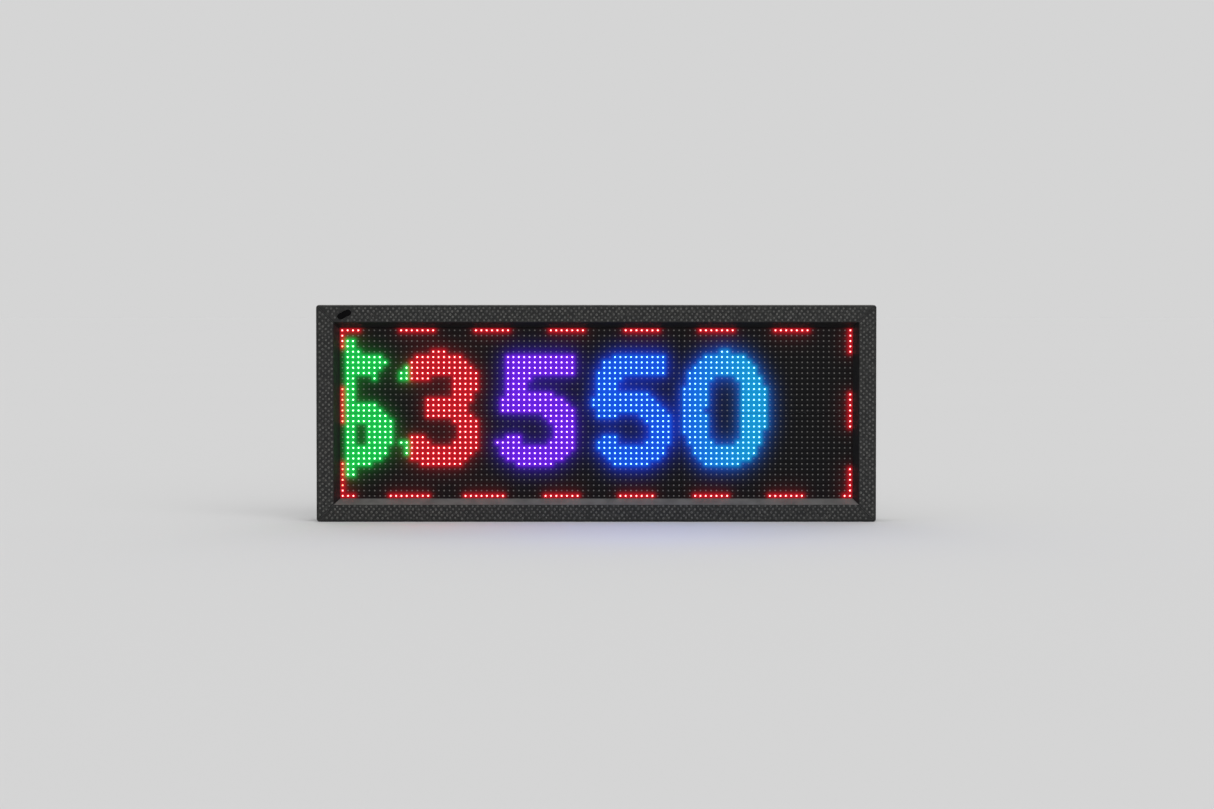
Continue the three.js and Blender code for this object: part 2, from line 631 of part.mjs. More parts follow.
// ---------------------------------------------------------------- ventilation
function buildFan() {
  const f = FAN;
  const half = f.size / 2;
  const square = rounded(f.x - half, f.z - half, f.x + half, f.z + half, 5);
  const frame = [
    slab(pierced(square, disc(f.x, f.z, f.bore, 32)), f.y0, PANEL.y0 - GAP),
    rod(f.x, f.z, 15, f.y0, f.y0 + 3.6),
  ];
  for (let i = 0; i < 4; i += 1) {
    const arm = new THREE.BoxGeometry(26, 3, 4).translate(27, f.y0 + 1.8, 0);
    frame.push(arm.rotateY((i + 0.5) * QUARTER).translate(f.x, 0, f.z));
  }
  add("fan_frame", join(...frame), blackPlastic);

  const rotor = [rod(f.x, f.z, 17, f.y0 + 4.4, PANEL.y0 - 3)];
  for (let i = 0; i < f.blades; i += 1) {
    const blade = new THREE.BoxGeometry(f.rotor - 15, 1.6, 15)
      .rotateX(-0.6)
      .translate((f.rotor + 15) / 2, (f.y0 + PANEL.y0) / 2 + 0.5, 0)
      .rotateY((i * 4 * QUARTER) / f.blades);
    rotor.push(blade.translate(f.x, 0, f.z));
  }
  add("fan_rotor", join(...rotor), blackPlastic);

  const wire = 2.4;
  const guard = [rod(f.x, f.z, 9, ON_PANEL, ON_PANEL + wire)];
  for (const r of [38, 28, 18]) {
    const ring = pierced(disc(f.x, f.z, r + wire / 2), disc(f.x, f.z, r - wire / 2));
    guard.push(slab(ring, ON_PANEL, ON_PANEL + wire));
  }
  for (const turn of [0.5, 1.5]) {
    const bar = new THREE.BoxGeometry(92, wire, wire).rotateY(turn * QUARTER);
    guard.push(bar.translate(f.x, ON_PANEL + wire / 2, f.z));
  }
  add("fan_guard", join(...guard), stainless);

  const l = LOUVRE;
  const plate = rounded(l.x - l.w / 2, l.z - l.h / 2, l.x + l.w / 2, l.z + l.h / 2, 5);
  const hoods = [];
  for (let i = -2; i <= 2; i += 1) {
    const z = l.z + i * l.step;
    plate.holes.push(rectangle(l.x - 32, z - 2.2, l.x + 32, z + 2.2));
    const hood = outline([
      [ON_PANEL + 1, z + 2.2],
      [ON_PANEL + 6, z - 1.4],
      [ON_PANEL + 7, z - 0.4],
      [ON_PANEL + 1.4, z + 4],
    ]);
    hoods.push(beam(hood, l.x - 34, l.x + 34));
  }
  add("intake_louvre", join(slab(plate, ON_PANEL, ON_PANEL + 1.5), ...hoods), steelPaint);
}

// ---------------------------------------------------------------- switch, port, inlet
function buildControls() {
  const y = ON_PANEL;
  const s = SWITCH;
  const bezel = slab(rounded(s.x - 12, s.z - 18, s.x + 12, s.z + 18, 3), y, y + 3);
  const can = block([s.x - 9, s.y0, s.z - 14], [s.x + 9, y + 0.2, s.z + 14]);
  const well = block([s.x - 7, s.y0 + 11, s.z - 12.8], [s.x + 7, y + 4, s.z + 12.8]);
  const bearing = axle(s.x, s.pivotY, s.z, 1.5, 16.8);
  add("switch_housing", cut(join(bezel, can), well, bearing), blackPlastic);
  // The rocker is a shallow vee on a short axle. It lies with its lower half pressed in.
  const vee = outline([
    [-1, -11.4],
    [4.6, -11.4],
    [2.8, 0],
    [4.6, 11.4],
    [-1, 11.4],
    [-4, 4],
    [-4, -4],
  ]);
  const rocker = join(beam(vee, -6.4, 6.4), axle(0, 0, 0, 1.2, 16));
  rocker.rotateX(THREE.MathUtils.degToRad(s.tilt)).translate(s.x, s.pivotY, s.z);
  add("switch_rocker", rocker, blackPlastic);

  const p = PORT;
  const flange = slab(rounded(p.x - 17, p.z - 16, p.x + 17, p.z + 19, 3), y, y + 3);
  const jack = block([p.x - 10.5, p.y0, p.z - 8.5], [p.x + 10.5, y + 0.2, p.z + 8.5]);
  const socket = block([p.x - 6.5, p.y0 + 6, p.z - 6], [p.x + 6.5, y + 4, p.z + 6]);
  const ears = [-12, 12].map((dx) =>
    block([p.x + dx - 1.5, y + 2.8, p.z + 13], [p.x + dx + 1.5, y + 7, p.z + 18]),
  );
  const bores = axle(p.x, p.pivotY, p.pivotZ, 1.5, 30);
  add("service_port", cut(join(flange, jack, ...ears), socket, bores), blackPlastic);
  const cap = join(
    slab(rounded(p.x - 15, p.z - 14, p.x + 15, p.z + 11.6, 3), y + 3 + GAP, y + 5.6),
    block([p.x - 9.5, y + 3.6, p.z + 11], [p.x + 9.5, y + 5.6, p.pivotZ]),
    axle(p.x, p.pivotY, p.pivotZ, 1.2, 28),
  );
  add("port_cap", cap, gasketRubber);

  const n = INLET;
  const shell = join(
    slab(rounded(n.x - 14, n.z - 14, n.x + 14, n.z + 14, 4), y, y + 2.6),
    rod(n.x, n.z, 9.2, n.y0, y + 0.2),
    rod(n.x, n.z, 11, y + 2.4, y + 12),
  );
  const pins = [-3.6, 3.6].map((dx) => rod(n.x + dx, n.z, 1.4, y + 2.8, y + 9, 8));
  const mouth = rod(n.x, n.z, 8.4, y + 3, y + 13);
  add("solar_inlet", join(cut(shell, mouth), ...pins), stainless);
}

// ---------------------------------------------------------------- mounting rails
// A channel with its open side to the panel and two long holes through its web.
function buildMountingRails() {
  const { w, t } = RAIL;
  const web = REAR - t;
  const channel = outline([
    [-w / 2, ON_PANEL],
    [t - w / 2, ON_PANEL],
    [t - w / 2, web],
    [w / 2 - t, web],
    [w / 2 - t, ON_PANEL],
    [w / 2, ON_PANEL],
    [w / 2, REAR],
    [-w / 2, REAR],
  ]);
  const holes = RAIL.slotZ.map((z) =>
    slab(stadium(0, z, RAIL.slotL, RAIL.slotW, QUARTER), web - 1, REAR + 1),
  );
  const rail = cut(column(channel, RAIL.z0, RAIL.z1), ...holes);
  add("mounting_rail_left", rail, zincSteel).position.x = -RAIL.x;
  add("mounting_rail_right", rail, zincSteel).position.x = RAIL.x;
}

buildFrame();
buildModules();
buildRibbons();
buildLoom();
buildElectronics();
buildRear();
buildFan();
buildControls();
buildMountingRails();

export default root;
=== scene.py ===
"""Looks of the full-colour road sign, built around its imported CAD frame.

Scene units are metres. Outlines and heights given to Part are millimetres.
"""
import random
from math import cos, pi, radians, sin, sqrt

import bpy
import numpy as np
from mathutils import Matrix, Vector


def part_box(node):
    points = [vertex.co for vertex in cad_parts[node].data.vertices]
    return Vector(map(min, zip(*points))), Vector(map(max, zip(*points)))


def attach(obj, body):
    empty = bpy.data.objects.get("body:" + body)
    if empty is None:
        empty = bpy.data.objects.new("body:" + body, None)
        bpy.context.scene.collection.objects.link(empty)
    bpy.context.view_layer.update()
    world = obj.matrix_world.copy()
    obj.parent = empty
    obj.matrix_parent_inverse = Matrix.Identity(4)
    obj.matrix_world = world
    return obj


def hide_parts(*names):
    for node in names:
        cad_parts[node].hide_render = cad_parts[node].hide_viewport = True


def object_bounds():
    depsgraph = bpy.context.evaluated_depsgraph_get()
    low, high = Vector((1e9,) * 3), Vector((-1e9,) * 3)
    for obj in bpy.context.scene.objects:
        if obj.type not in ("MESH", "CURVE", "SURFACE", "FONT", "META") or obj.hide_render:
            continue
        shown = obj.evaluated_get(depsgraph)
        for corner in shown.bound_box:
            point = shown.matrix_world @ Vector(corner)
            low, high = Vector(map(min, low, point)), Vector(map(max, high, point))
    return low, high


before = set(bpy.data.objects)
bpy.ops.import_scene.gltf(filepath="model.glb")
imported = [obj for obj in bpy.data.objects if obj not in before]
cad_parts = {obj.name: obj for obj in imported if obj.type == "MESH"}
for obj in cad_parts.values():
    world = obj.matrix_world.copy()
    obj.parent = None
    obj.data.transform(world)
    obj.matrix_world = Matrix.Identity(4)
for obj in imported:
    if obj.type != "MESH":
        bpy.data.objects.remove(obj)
cad_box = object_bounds()

MM = 0.001
GAP = 0.3 * MM
FRONTWARDS = (0, -1, 0)
BACKWARDS = (0, 1, 0)

# -------- places taken from the frame
body_low, body_high = cad_box
sign_x = (body_low.x + body_high.x) / 2
sign_z = (body_low.z + body_high.z) / 2
half_width = (body_high.x - body_low.x) / 2
half_height = (body_high.z - body_low.z) / 2
front_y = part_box("frame_rail_bottom")[0].y
panel_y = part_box("fan_guard")[0].y - GAP
door_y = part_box("rear_door")[1].y
tray_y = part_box("battery_pack")[0].y - GAP


# -------- outlines, in millimetres
def circle(radius, count):
    turns = [2 * pi * i / count for i in range(count)]
    return [(radius * cos(turn), radius * sin(turn)) for turn in turns]


def hexagon(radius):
    """Twelve points, so that it joins a circle of twelve."""
    reach = [radius, radius * cos(pi / 6)] * 6
    return [(r * x, r * y) for r, (x, y) in zip(reach, circle(1, 12))]


def rectangle(width, height):
    w, h = width / 2, height / 2
    return [(-w, -h), (w, -h), (w, h), (-w, h)]


def rounded(width, height, radius, steps=3):
    outline = []
    for side, end, start in ((1, -1, -90), (1, 1, 0), (-1, 1, 90), (-1, -1, 180)):
        for step in range(steps + 1):
            turn = radians(start + 90 * step / steps)
            x = side * (width / 2 - radius) + radius * cos(turn)
            outline.append((x, end * (height / 2 - radius) + radius * sin(turn)))
    return outline


# -------- places
def facing(direction, x, y, z, turn=0.0):
    """A place at a point, in millimetres from there on, with its own z along direction."""
    look = Vector(direction).to_track_quat("Z", "Y").to_matrix().to_4x4()
    return Matrix.Translation((x, y, z)) @ look @ Matrix.Rotation(turn, 4, "Z") @ Matrix.Scale(MM, 4)


def behind(x, y, z, turn=0.0):
    return facing(BACKWARDS, x, y, z, turn)


def moved(place, x, y, z=0):
    return place @ Matrix.Translation((x, y, z))


def middle(low, high):
    """The middle of a box across the sign and up it."""
    return (low.x + high.x) / 2, (low.z + high.z) / 2


# -------- pieces
finishes = {}


def adjusted(thing, **settings):
    for key, value in settings.items():
        setattr(thing, key, value)
    return thing


def placed(name, data):
    thing = bpy.data.objects.new(name, data)
    bpy.context.scene.collection.objects.link(thing)
    return thing


def skin(count, levels, looped=False, flipped=False):
    """Faces between outlines of count points each, with a cap at either end unless they are looped."""
    faces = []
    for level in range(levels if looped else levels - 1):
        here, there = level * count, (level + 1) % levels * count
        for i in range(count):
            j = (i + 1) % count
            faces.append((here + i, here + j, there + j, there + i))
    if not looped:
        faces.append(tuple(reversed(range(count))))
        faces.append(tuple(range((levels - 1) * count, levels * count)))
    return [face[::-1] for face in faces] if flipped else faces


class Part:
    """Faces gathered shape by shape, then made into one object that rides on a body."""

    def __init__(self, name, body, slot, *keys):
        self.name = name
        self.body = body
        self.slot = slot
        self.materials = [finishes[key] for key in keys]
        self.points = []
        self.faces = []
        self.paint = []

    def add(self, points, faces, paint=0):
        first = len(self.points)
        self.points += [Vector(p) for p in points]
        self.faces += [tuple(first + i for i in face) for face in faces]
        self.paint += [paint] * len(faces)

    def loft(self, place, sections, paint=0, looped=False):
        """A stack of outlines, each with its height."""
        points = [place @ Vector((x, y, height)) for outline, height in sections for x, y in outline]
        self.add(points, skin(len(sections[0][0]), len(sections), looped), paint)

    def turned(self, place, sides, profile, paint=0):
        """A lathed shape from pairs of a radius and a height."""
        self.loft(place, [(circle(radius, sides), height) for radius, height in profile], paint)

    def block(self, place, width, height, thick, edge=0.3, paint=0):
        """A slab that stands on its place, with its far edges taken off."""
        base = rectangle(width, height)
        top = rectangle(width - 2 * edge, height - 2 * edge)
        self.loft(place, [(base, 0), (base, thick - edge), (top, thick)], paint)

    def tube(self, path, radius, sides=8, looped=False, up=BACKWARDS):
        """A round bar of a radius in metres along points in metres."""
        points = []
        last = len(path) - 1
        for i, point in enumerate(path):
            before = path[i - 1] if i or looped else point
            after = path[(i + 1) % len(path)] if i < last or looped else point
            along = (Vector(after) - Vector(before)).normalized()
            side = along.cross(Vector(up)).normalized()
            lift = side.cross(along)
            points += [Vector(point) + radius * (x * side + y * lift) for x, y in circle(1, sides)]
        self.add(points, skin(sides, len(path), looped, flipped=True))

    def build(self, *replaced, sharp=38):
        mesh = bpy.data.meshes.new(self.name)
        mesh.from_pydata(self.points, [], self.faces)
        for material in self.materials:
            mesh.materials.append(material)
        mesh.polygons.foreach_set("material_index", self.paint)
        mesh.polygons.foreach_set("use_smooth", [True] * len(self.faces))
        mesh.update()
        mesh.set_sharp_from_angle(angle=radians(sharp))
        piece = placed(self.name, mesh)
        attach(piece, self.body)
        if replaced:
            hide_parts(*replaced)
        return piece


# -------- material nodes
def srgb(red, green, blue):
    """A colour of 0-255 sRGB values as linear numbers."""
    def linear(value):
        value /= 255
        return value / 12.92 if value <= 0.04045 else ((value + 0.055) / 1.055) ** 2.4
    return (linear(red), linear(green), linear(blue), 1.0)


class Nodes:
    """A material under construction, with its texture coordinates in the sign's own frame."""

    def __init__(self, name):
        self.material = bpy.data.materials.new(name)
        self.material.use_nodes = True
        self.tree = self.material.node_tree
        self.shader = self.tree.nodes["Principled BSDF"]
        self.at = self.make("TexCoord").outputs["Object"]

    def make(self, kind, inputs=(), **settings):
        node = adjusted(self.tree.nodes.new("ShaderNode" + kind), **settings)
        for key, value in dict(inputs).items():
            self.feed(node.inputs[key], value)
        return node

    def feed(self, socket, value):
        if isinstance(value, bpy.types.NodeSocket):
            self.tree.links.new(value, socket)
        else:
            socket.default_value = value

    def set(self, **values):
        for key, value in values.items():
            self.feed(self.shader.inputs[key.replace("_", " ")], value)

    def stretched(self, scale):
        return self.make("Mapping", {"Vector": self.at, "Scale": scale}).outputs["Vector"]

    def noise(self, scale, detail, at=None):
        inputs = {"Vector": at or self.at, "Scale": scale, "Detail": detail}
        return self.make("TexNoise", inputs).outputs["Fac"]

    def cells(self, scale, output="Color", **inputs):
        return self.make("TexVoronoi", {"Vector": self.at, "Scale": scale, **inputs}).outputs[output]

    def span(self, value, low, high, to_low=0.0, to_high=1.0):
        inputs = {"Value": value, "From Min": low, "From Max": high, "To Min": to_low, "To Max": to_high}
        return self.make("MapRange", inputs).outputs["Result"]

    def math(self, operation, first, second):
        return self.make("Math", {0: first, 1: second}, operation=operation).outputs["Value"]

    def mix(self, factor, first, second):
        node = self.make("Mix", data_type="RGBA")
        for index, value in ((0, factor), (6, first), (7, second)):
            self.feed(node.inputs[index], value)
        return node.outputs[2]

    def normal(self):
        """The way the surface faces, by axis."""
        return self.make("SeparateXYZ", {0: self.make("NewGeometry").outputs["Normal"]}).outputs

    def bump(self, height, strength, distance):
        inputs = {"Height": height, "Strength": strength, "Distance": distance}
        self.feed(self.shader.inputs["Normal"], self.make("Bump", inputs).outputs["Normal"])


def surface(
    name, colour, other, rough, metal, cloud, grain, relief, depth,
    worn=None, scratch=(1, 1, 1), dust=0.0, **sockets
):
    """Colour that drifts between two tones, fine grain in roughness and relief, scuffs and dust."""
    n = Nodes(name)
    drift = n.span(n.noise(cloud, 6), 0.35, 0.65)
    speck = n.noise(grain, 3)
    shade = n.mix(drift, srgb(*colour), srgb(*other))
    roughness = n.span(speck, 0.3, 0.7, *rough)
    if worn:
        marks = n.span(n.noise(55, 8, n.stretched(scratch)), 0.64, 0.7)
        shade = n.mix(n.math("MULTIPLY", marks, 0.6), shade, srgb(*worn))
        roughness = n.math("ADD", roughness, n.math("MULTIPLY", marks, 0.12))
    if dust:
        level = n.span(n.normal()["Z"], 0.25, 0.95)
        up_facing_share = n.math("MULTIPLY", level, n.span(n.noise(40, 5), 0.2, 0.6, 0.5, 1))
        shade = n.mix(n.math("MULTIPLY", up_facing_share, dust), shade, srgb(150, 146, 140))
    n.set(Base_Color=shade, Roughness=roughness, Metallic=metal, **sockets)
    n.bump(n.math("ADD", speck, n.math("MULTIPLY", drift, 0.5)), relief, depth * MM)
    return n.material


def frame_coating():
    """Dimpled black coating, with its pits painted darker as shade. The slope round the display is painted
    plain and darker as shade, the ledges take dust, and the upward slope below the display is also painted
    lighter as light from above.
    """
    n = Nodes("frame_coating")
    speck = n.noise(1500, 3)
    dimples = n.cells(165, "Distance", Randomness=0.95)
    lumps = n.math("MULTIPLY", n.span(dimples, 0.25, 0.6, 1, 0), n.span(n.noise(30, 6), 0.3, 0.7, 0.5, 1))
    scuffs = n.span(n.noise(55, 8, n.stretched((0.4, 1, 1))), 0.66, 0.72, 0, 0.25)
    # Painted shade: the pits between the lumps are darker and the lumps lighter, following the relief. The
    # scuffs are wear.
    shade = n.mix(scuffs, n.mix(lumps, srgb(9, 10, 9), srgb(38, 38, 36)), srgb(70, 70, 68))
    normal = n.normal()
    # Painted shade: the slope round the display is painted plain and nearly black.
    painted_slope = n.math("MULTIPLY", n.span(normal["Y"], -0.9, -0.8), n.span(normal["Y"], -0.2, -0.35))
    shade = n.mix(n.math("MULTIPLY", painted_slope, 0.8), shade, srgb(12, 12, 12))
    # Dust on upward faces. On the upward slope below the display the same light colour is laid on thicker,
    # as painted light from above.
    level = n.math("MULTIPLY", n.span(normal["Z"], 0.25, 0.85), n.span(n.noise(40, 5), 0.2, 0.6, 0.6, 1))
    up_facing_share = n.math("MULTIPLY", level, n.math("ADD", 0.11, n.math("MULTIPLY", painted_slope, 0.27)))
    n.set(
        Base_Color=n.mix(up_facing_share, shade, srgb(152, 150, 147)),
        Roughness=n.span(speck, 0.3, 0.7, 0.5, 0.66),
        Metallic=0.0,
        Specular_IOR_Level=0.35,
    )
    n.bump(n.math("ADD", speck, lumps), 0.4, 0.3 * MM)
    return n.material


def galvanised():
    """Zinc with its crystals: patches that each have a tone and a roughness."""
    n = Nodes("zinc_plate")
    crystal = n.make("SeparateColor", {0: n.cells(90)})
    shade = n.mix(crystal.outputs[0], srgb(176, 180, 184), srgb(150, 155, 160))
    stains = n.span(n.noise(14, 8), 0.55, 0.75, 0, 0.5)
    n.set(
        Base_Color=n.mix(stains, shade, srgb(120, 118, 112)),
        Roughness=n.span(crystal.outputs[1], 0, 1, 0.32, 0.52),
        Metallic=0.9,
    )
    n.bump(n.noise(500, 4), 0.08, 0.2 * MM)
    return n.material


WIRE_STEP = 1.27 * MM


def ribboned():
    """Flat cable: a grey ridge for each of its wires, painted lighter on its top and darker in the grooves
    as painted highlight and shade.
    """
    n = Nodes("flat_cable")
    height = n.make("SeparateXYZ", {0: n.at}).outputs["Z"]
    ridge = n.span(n.math("PINGPONG", height, WIRE_STEP / 2), 0, WIRE_STEP / 2)
    # Painted highlight and shade: lighter on the top of each wire and darker in the grooves between them.
    shade = n.mix(ridge, srgb(120, 122, 126), srgb(176, 178, 182))
    n.set(Base_Color=n.mix(n.span(n.noise(30, 5), 0.4, 0.7, 0, 0.4), shade, srgb(150, 146, 138)))
    n.set(Roughness=n.span(n.noise(300, 4), 0.3, 0.7, 0.42, 0.62))
    n.bump(ridge, 0.6, 0.4 * MM)
    return n.material


def paired():
    """Two wires side by side: the side of each run that faces up or right is red, the other black."""
    n = Nodes("wire_pair")
    normal = n.normal()
    side = n.math("ADD", normal["X"], normal["Z"])
    grime = n.span(n.noise(60, 5), 0.45, 0.7, 0, 0.3)
    shade = n.mix(n.span(side, -0.12, 0.12), srgb(22, 22, 23), srgb(172, 24, 20))
    n.set(
        Base_Color=n.mix(grime, shade, srgb(92, 84, 80)),
        Roughness=n.span(n.noise(800, 3), 0.3, 0.7, 0.4, 0.55),
    )
    groove = n.span(n.math("ABSOLUTE", side, 0.0), 0.0, 0.25)
    n.bump(n.math("ADD", groove, n.math("MULTIPLY", n.noise(800, 3), 0.15)), 0.5, 0.5 * MM)
    return n.material


# -------- the picture on the display
COLUMNS, ROWS = 96, 32
PITCH = 10 * MM
MODULE_COLUMNS, MODULE_ROWS = 32, 16
MODULES = [
    (f"{row}_{place}", j * MODULE_ROWS, i * MODULE_COLUMNS)
    for j, row in enumerate(("upper", "lower"))
    for i, place in enumerate(("left", "middle", "right"))
]

GREEN = srgb(12, 196, 78)
RED = srgb(196, 8, 28)
PURPLE = srgb(108, 24, 232)
BLUE = srgb(0, 86, 230)
CYAN = srgb(0, 154, 212)

# What the light of each kind of centre is multiplied by where it only reaches as a painted halo, which the
# mask round it emits.
PAINTED_HALO_TINTS = {
    "green": (0.4, 1.25, 0.7),
    "red": (1.3, 1.0, 2.2),
    "orange": (1.3, 1.0, 2.2),
    "violet": (1.2, 1.2, 2.6),
    "azure": (0.8, 1.7, 4.3),
}


def band(value, low, high):
    return low <= value <= high


def oval(column, row, centre, radii, power):
    """Whether a light is inside an oval, which is the squarer the higher its power."""
    across = abs(column - centre[0]) / radii[0]
    upright = abs(row - centre[1]) / radii[1]
    return across**power + upright**power <= 1


def cut_glyph(column, row):
    post = band(column, 1, 2) and band(row, 2, 27)
    flag = oval(column, row, (0.7, 6.2), (7.4, 2.3), 2.5)
    hole = band(column, 3, 4) and band(row, 18, 21)
    bowl = oval(column, row, (0.6, 19.3), (8.8, 6.3), 2.5) and not hole
    tail = (column, row) == (6, 9)
    return column > 0 and (post or flag or bowl or tail)


def three(column, row):
    top = oval(column, row, (18.0, 9.7), (7.6, 5.9), 1.9)
    bottom = oval(column, row, (18.2, 19.4), (7.8, 6.6), 1.9)
    counters = oval(column, row, (18.2, 14.9), (2.6, 6.8), 3.3) or column == 21 and band(row, 18, 20)
    mouth = column < 20 and band(row, 10, 19) or column < 13 and row == 20
    waist = band(column, 16, 20) and band(row, 13, 16)
    return waist or (top or bottom) and not counters and not mouth


def five(column, row, head_left, corner, left, centre, radii, counter, waist):
    """A five whose stem starts at the column called left and ends at the row called waist."""
    head = band(column, head_left, head_left + 12.4) and band(row, 5, 8)
    head = head and column - head_left + 2 * (row - 5) >= corner
    stem = band(column, left, left + (4.5 if row == 9 else 3.5)) and band(row, 8, waist)
    spur = column == int(left) and band(row, 13, 14)
    bowl = oval(column, row, centre, radii, 2.15)
    hole = oval(column, row, *counter)
    mouth = column < centre[0] + 1.4 and band(row, 16, 19) or column < centre[0] - 5.5 and row == 20
    return head or stem or spur or bowl and not hole and not mouth


PURPLE_FIVE = 31, 0, 30.7, (36.1, 18.4), (7.8, 7.2), ((36.2, 18.9), (2.9, 2.2), 6.9), 15
BLUE_FIVE = 48.5, 2, 47.8, (54.3, 18.7), (7.15, 7.13), ((54.4, 19.0), (2.8, 2.4), 4.4), 16


def nought(column, row):
    ring = oval(column, row, (71.4, 14.9), (8.1, 11.0), 2.1)
    return ring and not oval(column, row, (71.3, 15.0), (3.3, 6.6), 3.2)


def border(column, row):
    """Dashes of seven lights in every fourteen round the edge of the display."""
    dash, cycle = 7, 14
    return (
        row == 0 and (column - 11) % cycle < dash
        or row == ROWS - 1 and ((column - 10) % cycle < dash or column in (9, 23))
        or column == 0 and (row - 11) % cycle < dash
        or column == COLUMNS - 1 and (row - 12) % cycle < dash
    )


def blend(first, second, share):
    return tuple(a + (b - a) * share for a, b in zip(first, second))


def picture():
    """The lit lights: their colour, and the kind of bright centre that each shows."""
    lit = {}
    for column in range(COLUMNS):
        for row in range(ROWS):
            if border(column, row):
                lit[column, row] = RED, "orange" if column == 0 and 2 < row < 30 else "red"
            elif cut_glyph(column, row) or three(column, row):
                lit[column, row] = (GREEN, "green") if column < 13 else (RED, "red")
            elif five(column, row, *PURPLE_FIVE):
                lit[column, row] = PURPLE, "violet"
            elif five(column, row, *BLUE_FIVE) or nought(column, row):
                lit[column, row] = blend(BLUE, CYAN, min(max((column - 62) / 14, 0), 1)), "azure"
    return lit


mask_lows, mask_highs = zip(*(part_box(f"led_mask_{name}") for name, _, _ in MODULES))
field_x = (min(low.x for low in mask_lows) + max(high.x for high in mask_highs)) / 2
field_z = (min(low.z for low in mask_lows) + max(high.z for high in mask_highs)) / 2
lit_lights = picture()


def light_place(column, row):
    return field_x + (column - (COLUMNS - 1) / 2) * PITCH, field_z + ((ROWS - 1) / 2 - row) * PITCH


def painted_glow_at(points):
    """Glow painted over the mask from the lit lights and emitted by the surface itself: a tight pool and a
    wide faint halo.
    """
    sources = np.array([light_place(*spot) for spot in lit_lights])
    colours = np.array([colour[:3] for colour, _ in lit_lights.values()])
    spread = colours * [PAINTED_HALO_TINTS[kind] for _, kind in lit_lights.values()]
    at = np.array([(p.x, p.z) for p in points])
    glow = np.zeros((len(at), 3))
    for start in range(0, len(at), 2000):
        chunk = at[start : start + 2000]
        away = np.linalg.norm(chunk[:, None] - sources[None], axis=2) / PITCH
        pool = np.exp(-((away / 0.55) ** 2))
        total = pool.sum(1, keepdims=True)
        cover = np.minimum(total, 1)
        halo = 0.02 * np.exp(-((away / 1.4) ** 2)) + 0.006 * np.exp(-((away / 2.6) ** 2))
        glow[start : start + 2000] = (
            0.95 * cover * (pool @ colours / np.maximum(total, 1e-9))
            + (1 - cover) * (halo @ spread)
        )
    return glow


# Stores the painted glow on every point of a piece, for the mask, package and dome materials to emit.
def paint_glow(piece):
    mesh = piece.data
    attribute = mesh.color_attributes.new("glow", "FLOAT_COLOR", "POINT")
    glow = painted_glow_at([vertex.co for vertex in mesh.vertices])
    attribute.data.foreach_set("color", np.c_[glow, np.ones(len(glow))].ravel())


# -------- display pieces
WINDOW = 4.0
POCKET = 1.3
VISOR_REACH, VISOR_THICK = 1.8, 0.7
PACKAGE_SIDE, PACKAGE_TALL = 3.4, 0.6
DOME = [(1.6, 0.5), (1.2, 1.0)]
KINDS = ["package", "dome", "green", "red", "orange", "violet", "azure"]


def grid_lines(low, high, first_row, first_column):
    """Lines at every half spacing across and up one module, the outer ones on its edges."""
    xs = [light_place(first_column + (i - 1) / 2, 0)[0] for i in range(2 * MODULE_COLUMNS + 1)]
    last_row = first_row + MODULE_ROWS - 1
    zs = [light_place(0, last_row - (j - 1) / 2)[1] for j in range(2 * MODULE_ROWS + 1)]
    xs[0], xs[-1] = low.x, high.x
    zs[0], zs[-1] = low.z, high.z
    return xs, zs


def add_pocketed_slab(part, low, high, xs, zs):
    """One closed skin: a square pocket at every light, the edges of the module and its flat back."""
    index, points, faces = {}, [], []

    def point(x, y, z):
        points.append((x, y, z))
        return len(points) - 1

    for i, x in enumerate(xs):
        for j, z in enumerate(zs):
            if not (i % 2 and j % 2):
                index[i, j] = point(x, low.y, z)
    half = WINDOW / 2 * MM
    corner_signs = ((-1, -1), (1, -1), (1, 1), (-1, 1))
    for i in range(1, len(xs), 2):
        for j in range(1, len(zs), 2):
            rim = [point(xs[i] + a * half, low.y, zs[j] + b * half) for a, b in corner_signs]
            floor_y = low.y + POCKET * MM
            floor = [point(xs[i] + a * half, floor_y, zs[j] + b * half) for a, b in corner_signs]
            edge = [index[i + a, j + b] for a, b in corner_signs]
            between = [index[i + a, j + b] for a, b in ((0, -1), (1, 0), (0, 1), (-1, 0))]
            for k in range(4):
                after = (k + 1) % 4
                faces.append((edge[k], between[k], edge[after], rim[after], rim[k]))
                faces.append((rim[k], rim[after], floor[after], floor[k]))
            faces.append(tuple(floor))
    width, height = len(xs) - 1, len(zs) - 1
    loop = [(i, 0) for i in range(width)] + [(width, j) for j in range(height)]
    loop += [(i, height) for i in range(width, 0, -1)] + [(0, j) for j in range(height, 0, -1)]
    back = [point(xs[i], high.y, zs[j]) for i, j in loop]
    for k, spot in enumerate(loop):
        after = (k + 1) % len(loop)
        faces.append((index[loop[after]], index[spot], back[k], back[after]))
    faces.append(tuple(reversed(back)))
    part.add(points, faces)


def mask_piece(name, first_row, first_column):
    """The face of one module: a pocket round each light and a thin visor over each row."""
    low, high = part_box(f"led_mask_{name}")
    xs, zs = grid_lines(low, high, first_row, first_column)
    part = Part(f"mask_face_{name}", "cabinet", "mask_plastic", "mask")
    add_pocketed_slab(part, low, high, xs, zs)
    blade = [(v, u) for u, v in rectangle(VISOR_THICK, VISOR_REACH + 0.2)]
    stops = [low.x + 0.4 * MM, *xs[2:-1:2], high.x - 0.4 * MM]
    for z in zs[2::2]:
        place = facing((1, 0, 0), 0, low.y - VISOR_REACH / 2 * MM, z - 0.9 * VISOR_THICK * MM)
        part.loft(place, [(blade, stop / MM) for stop in stops])
    paint_glow(part.build(f"led_mask_{name}", sharp=20))


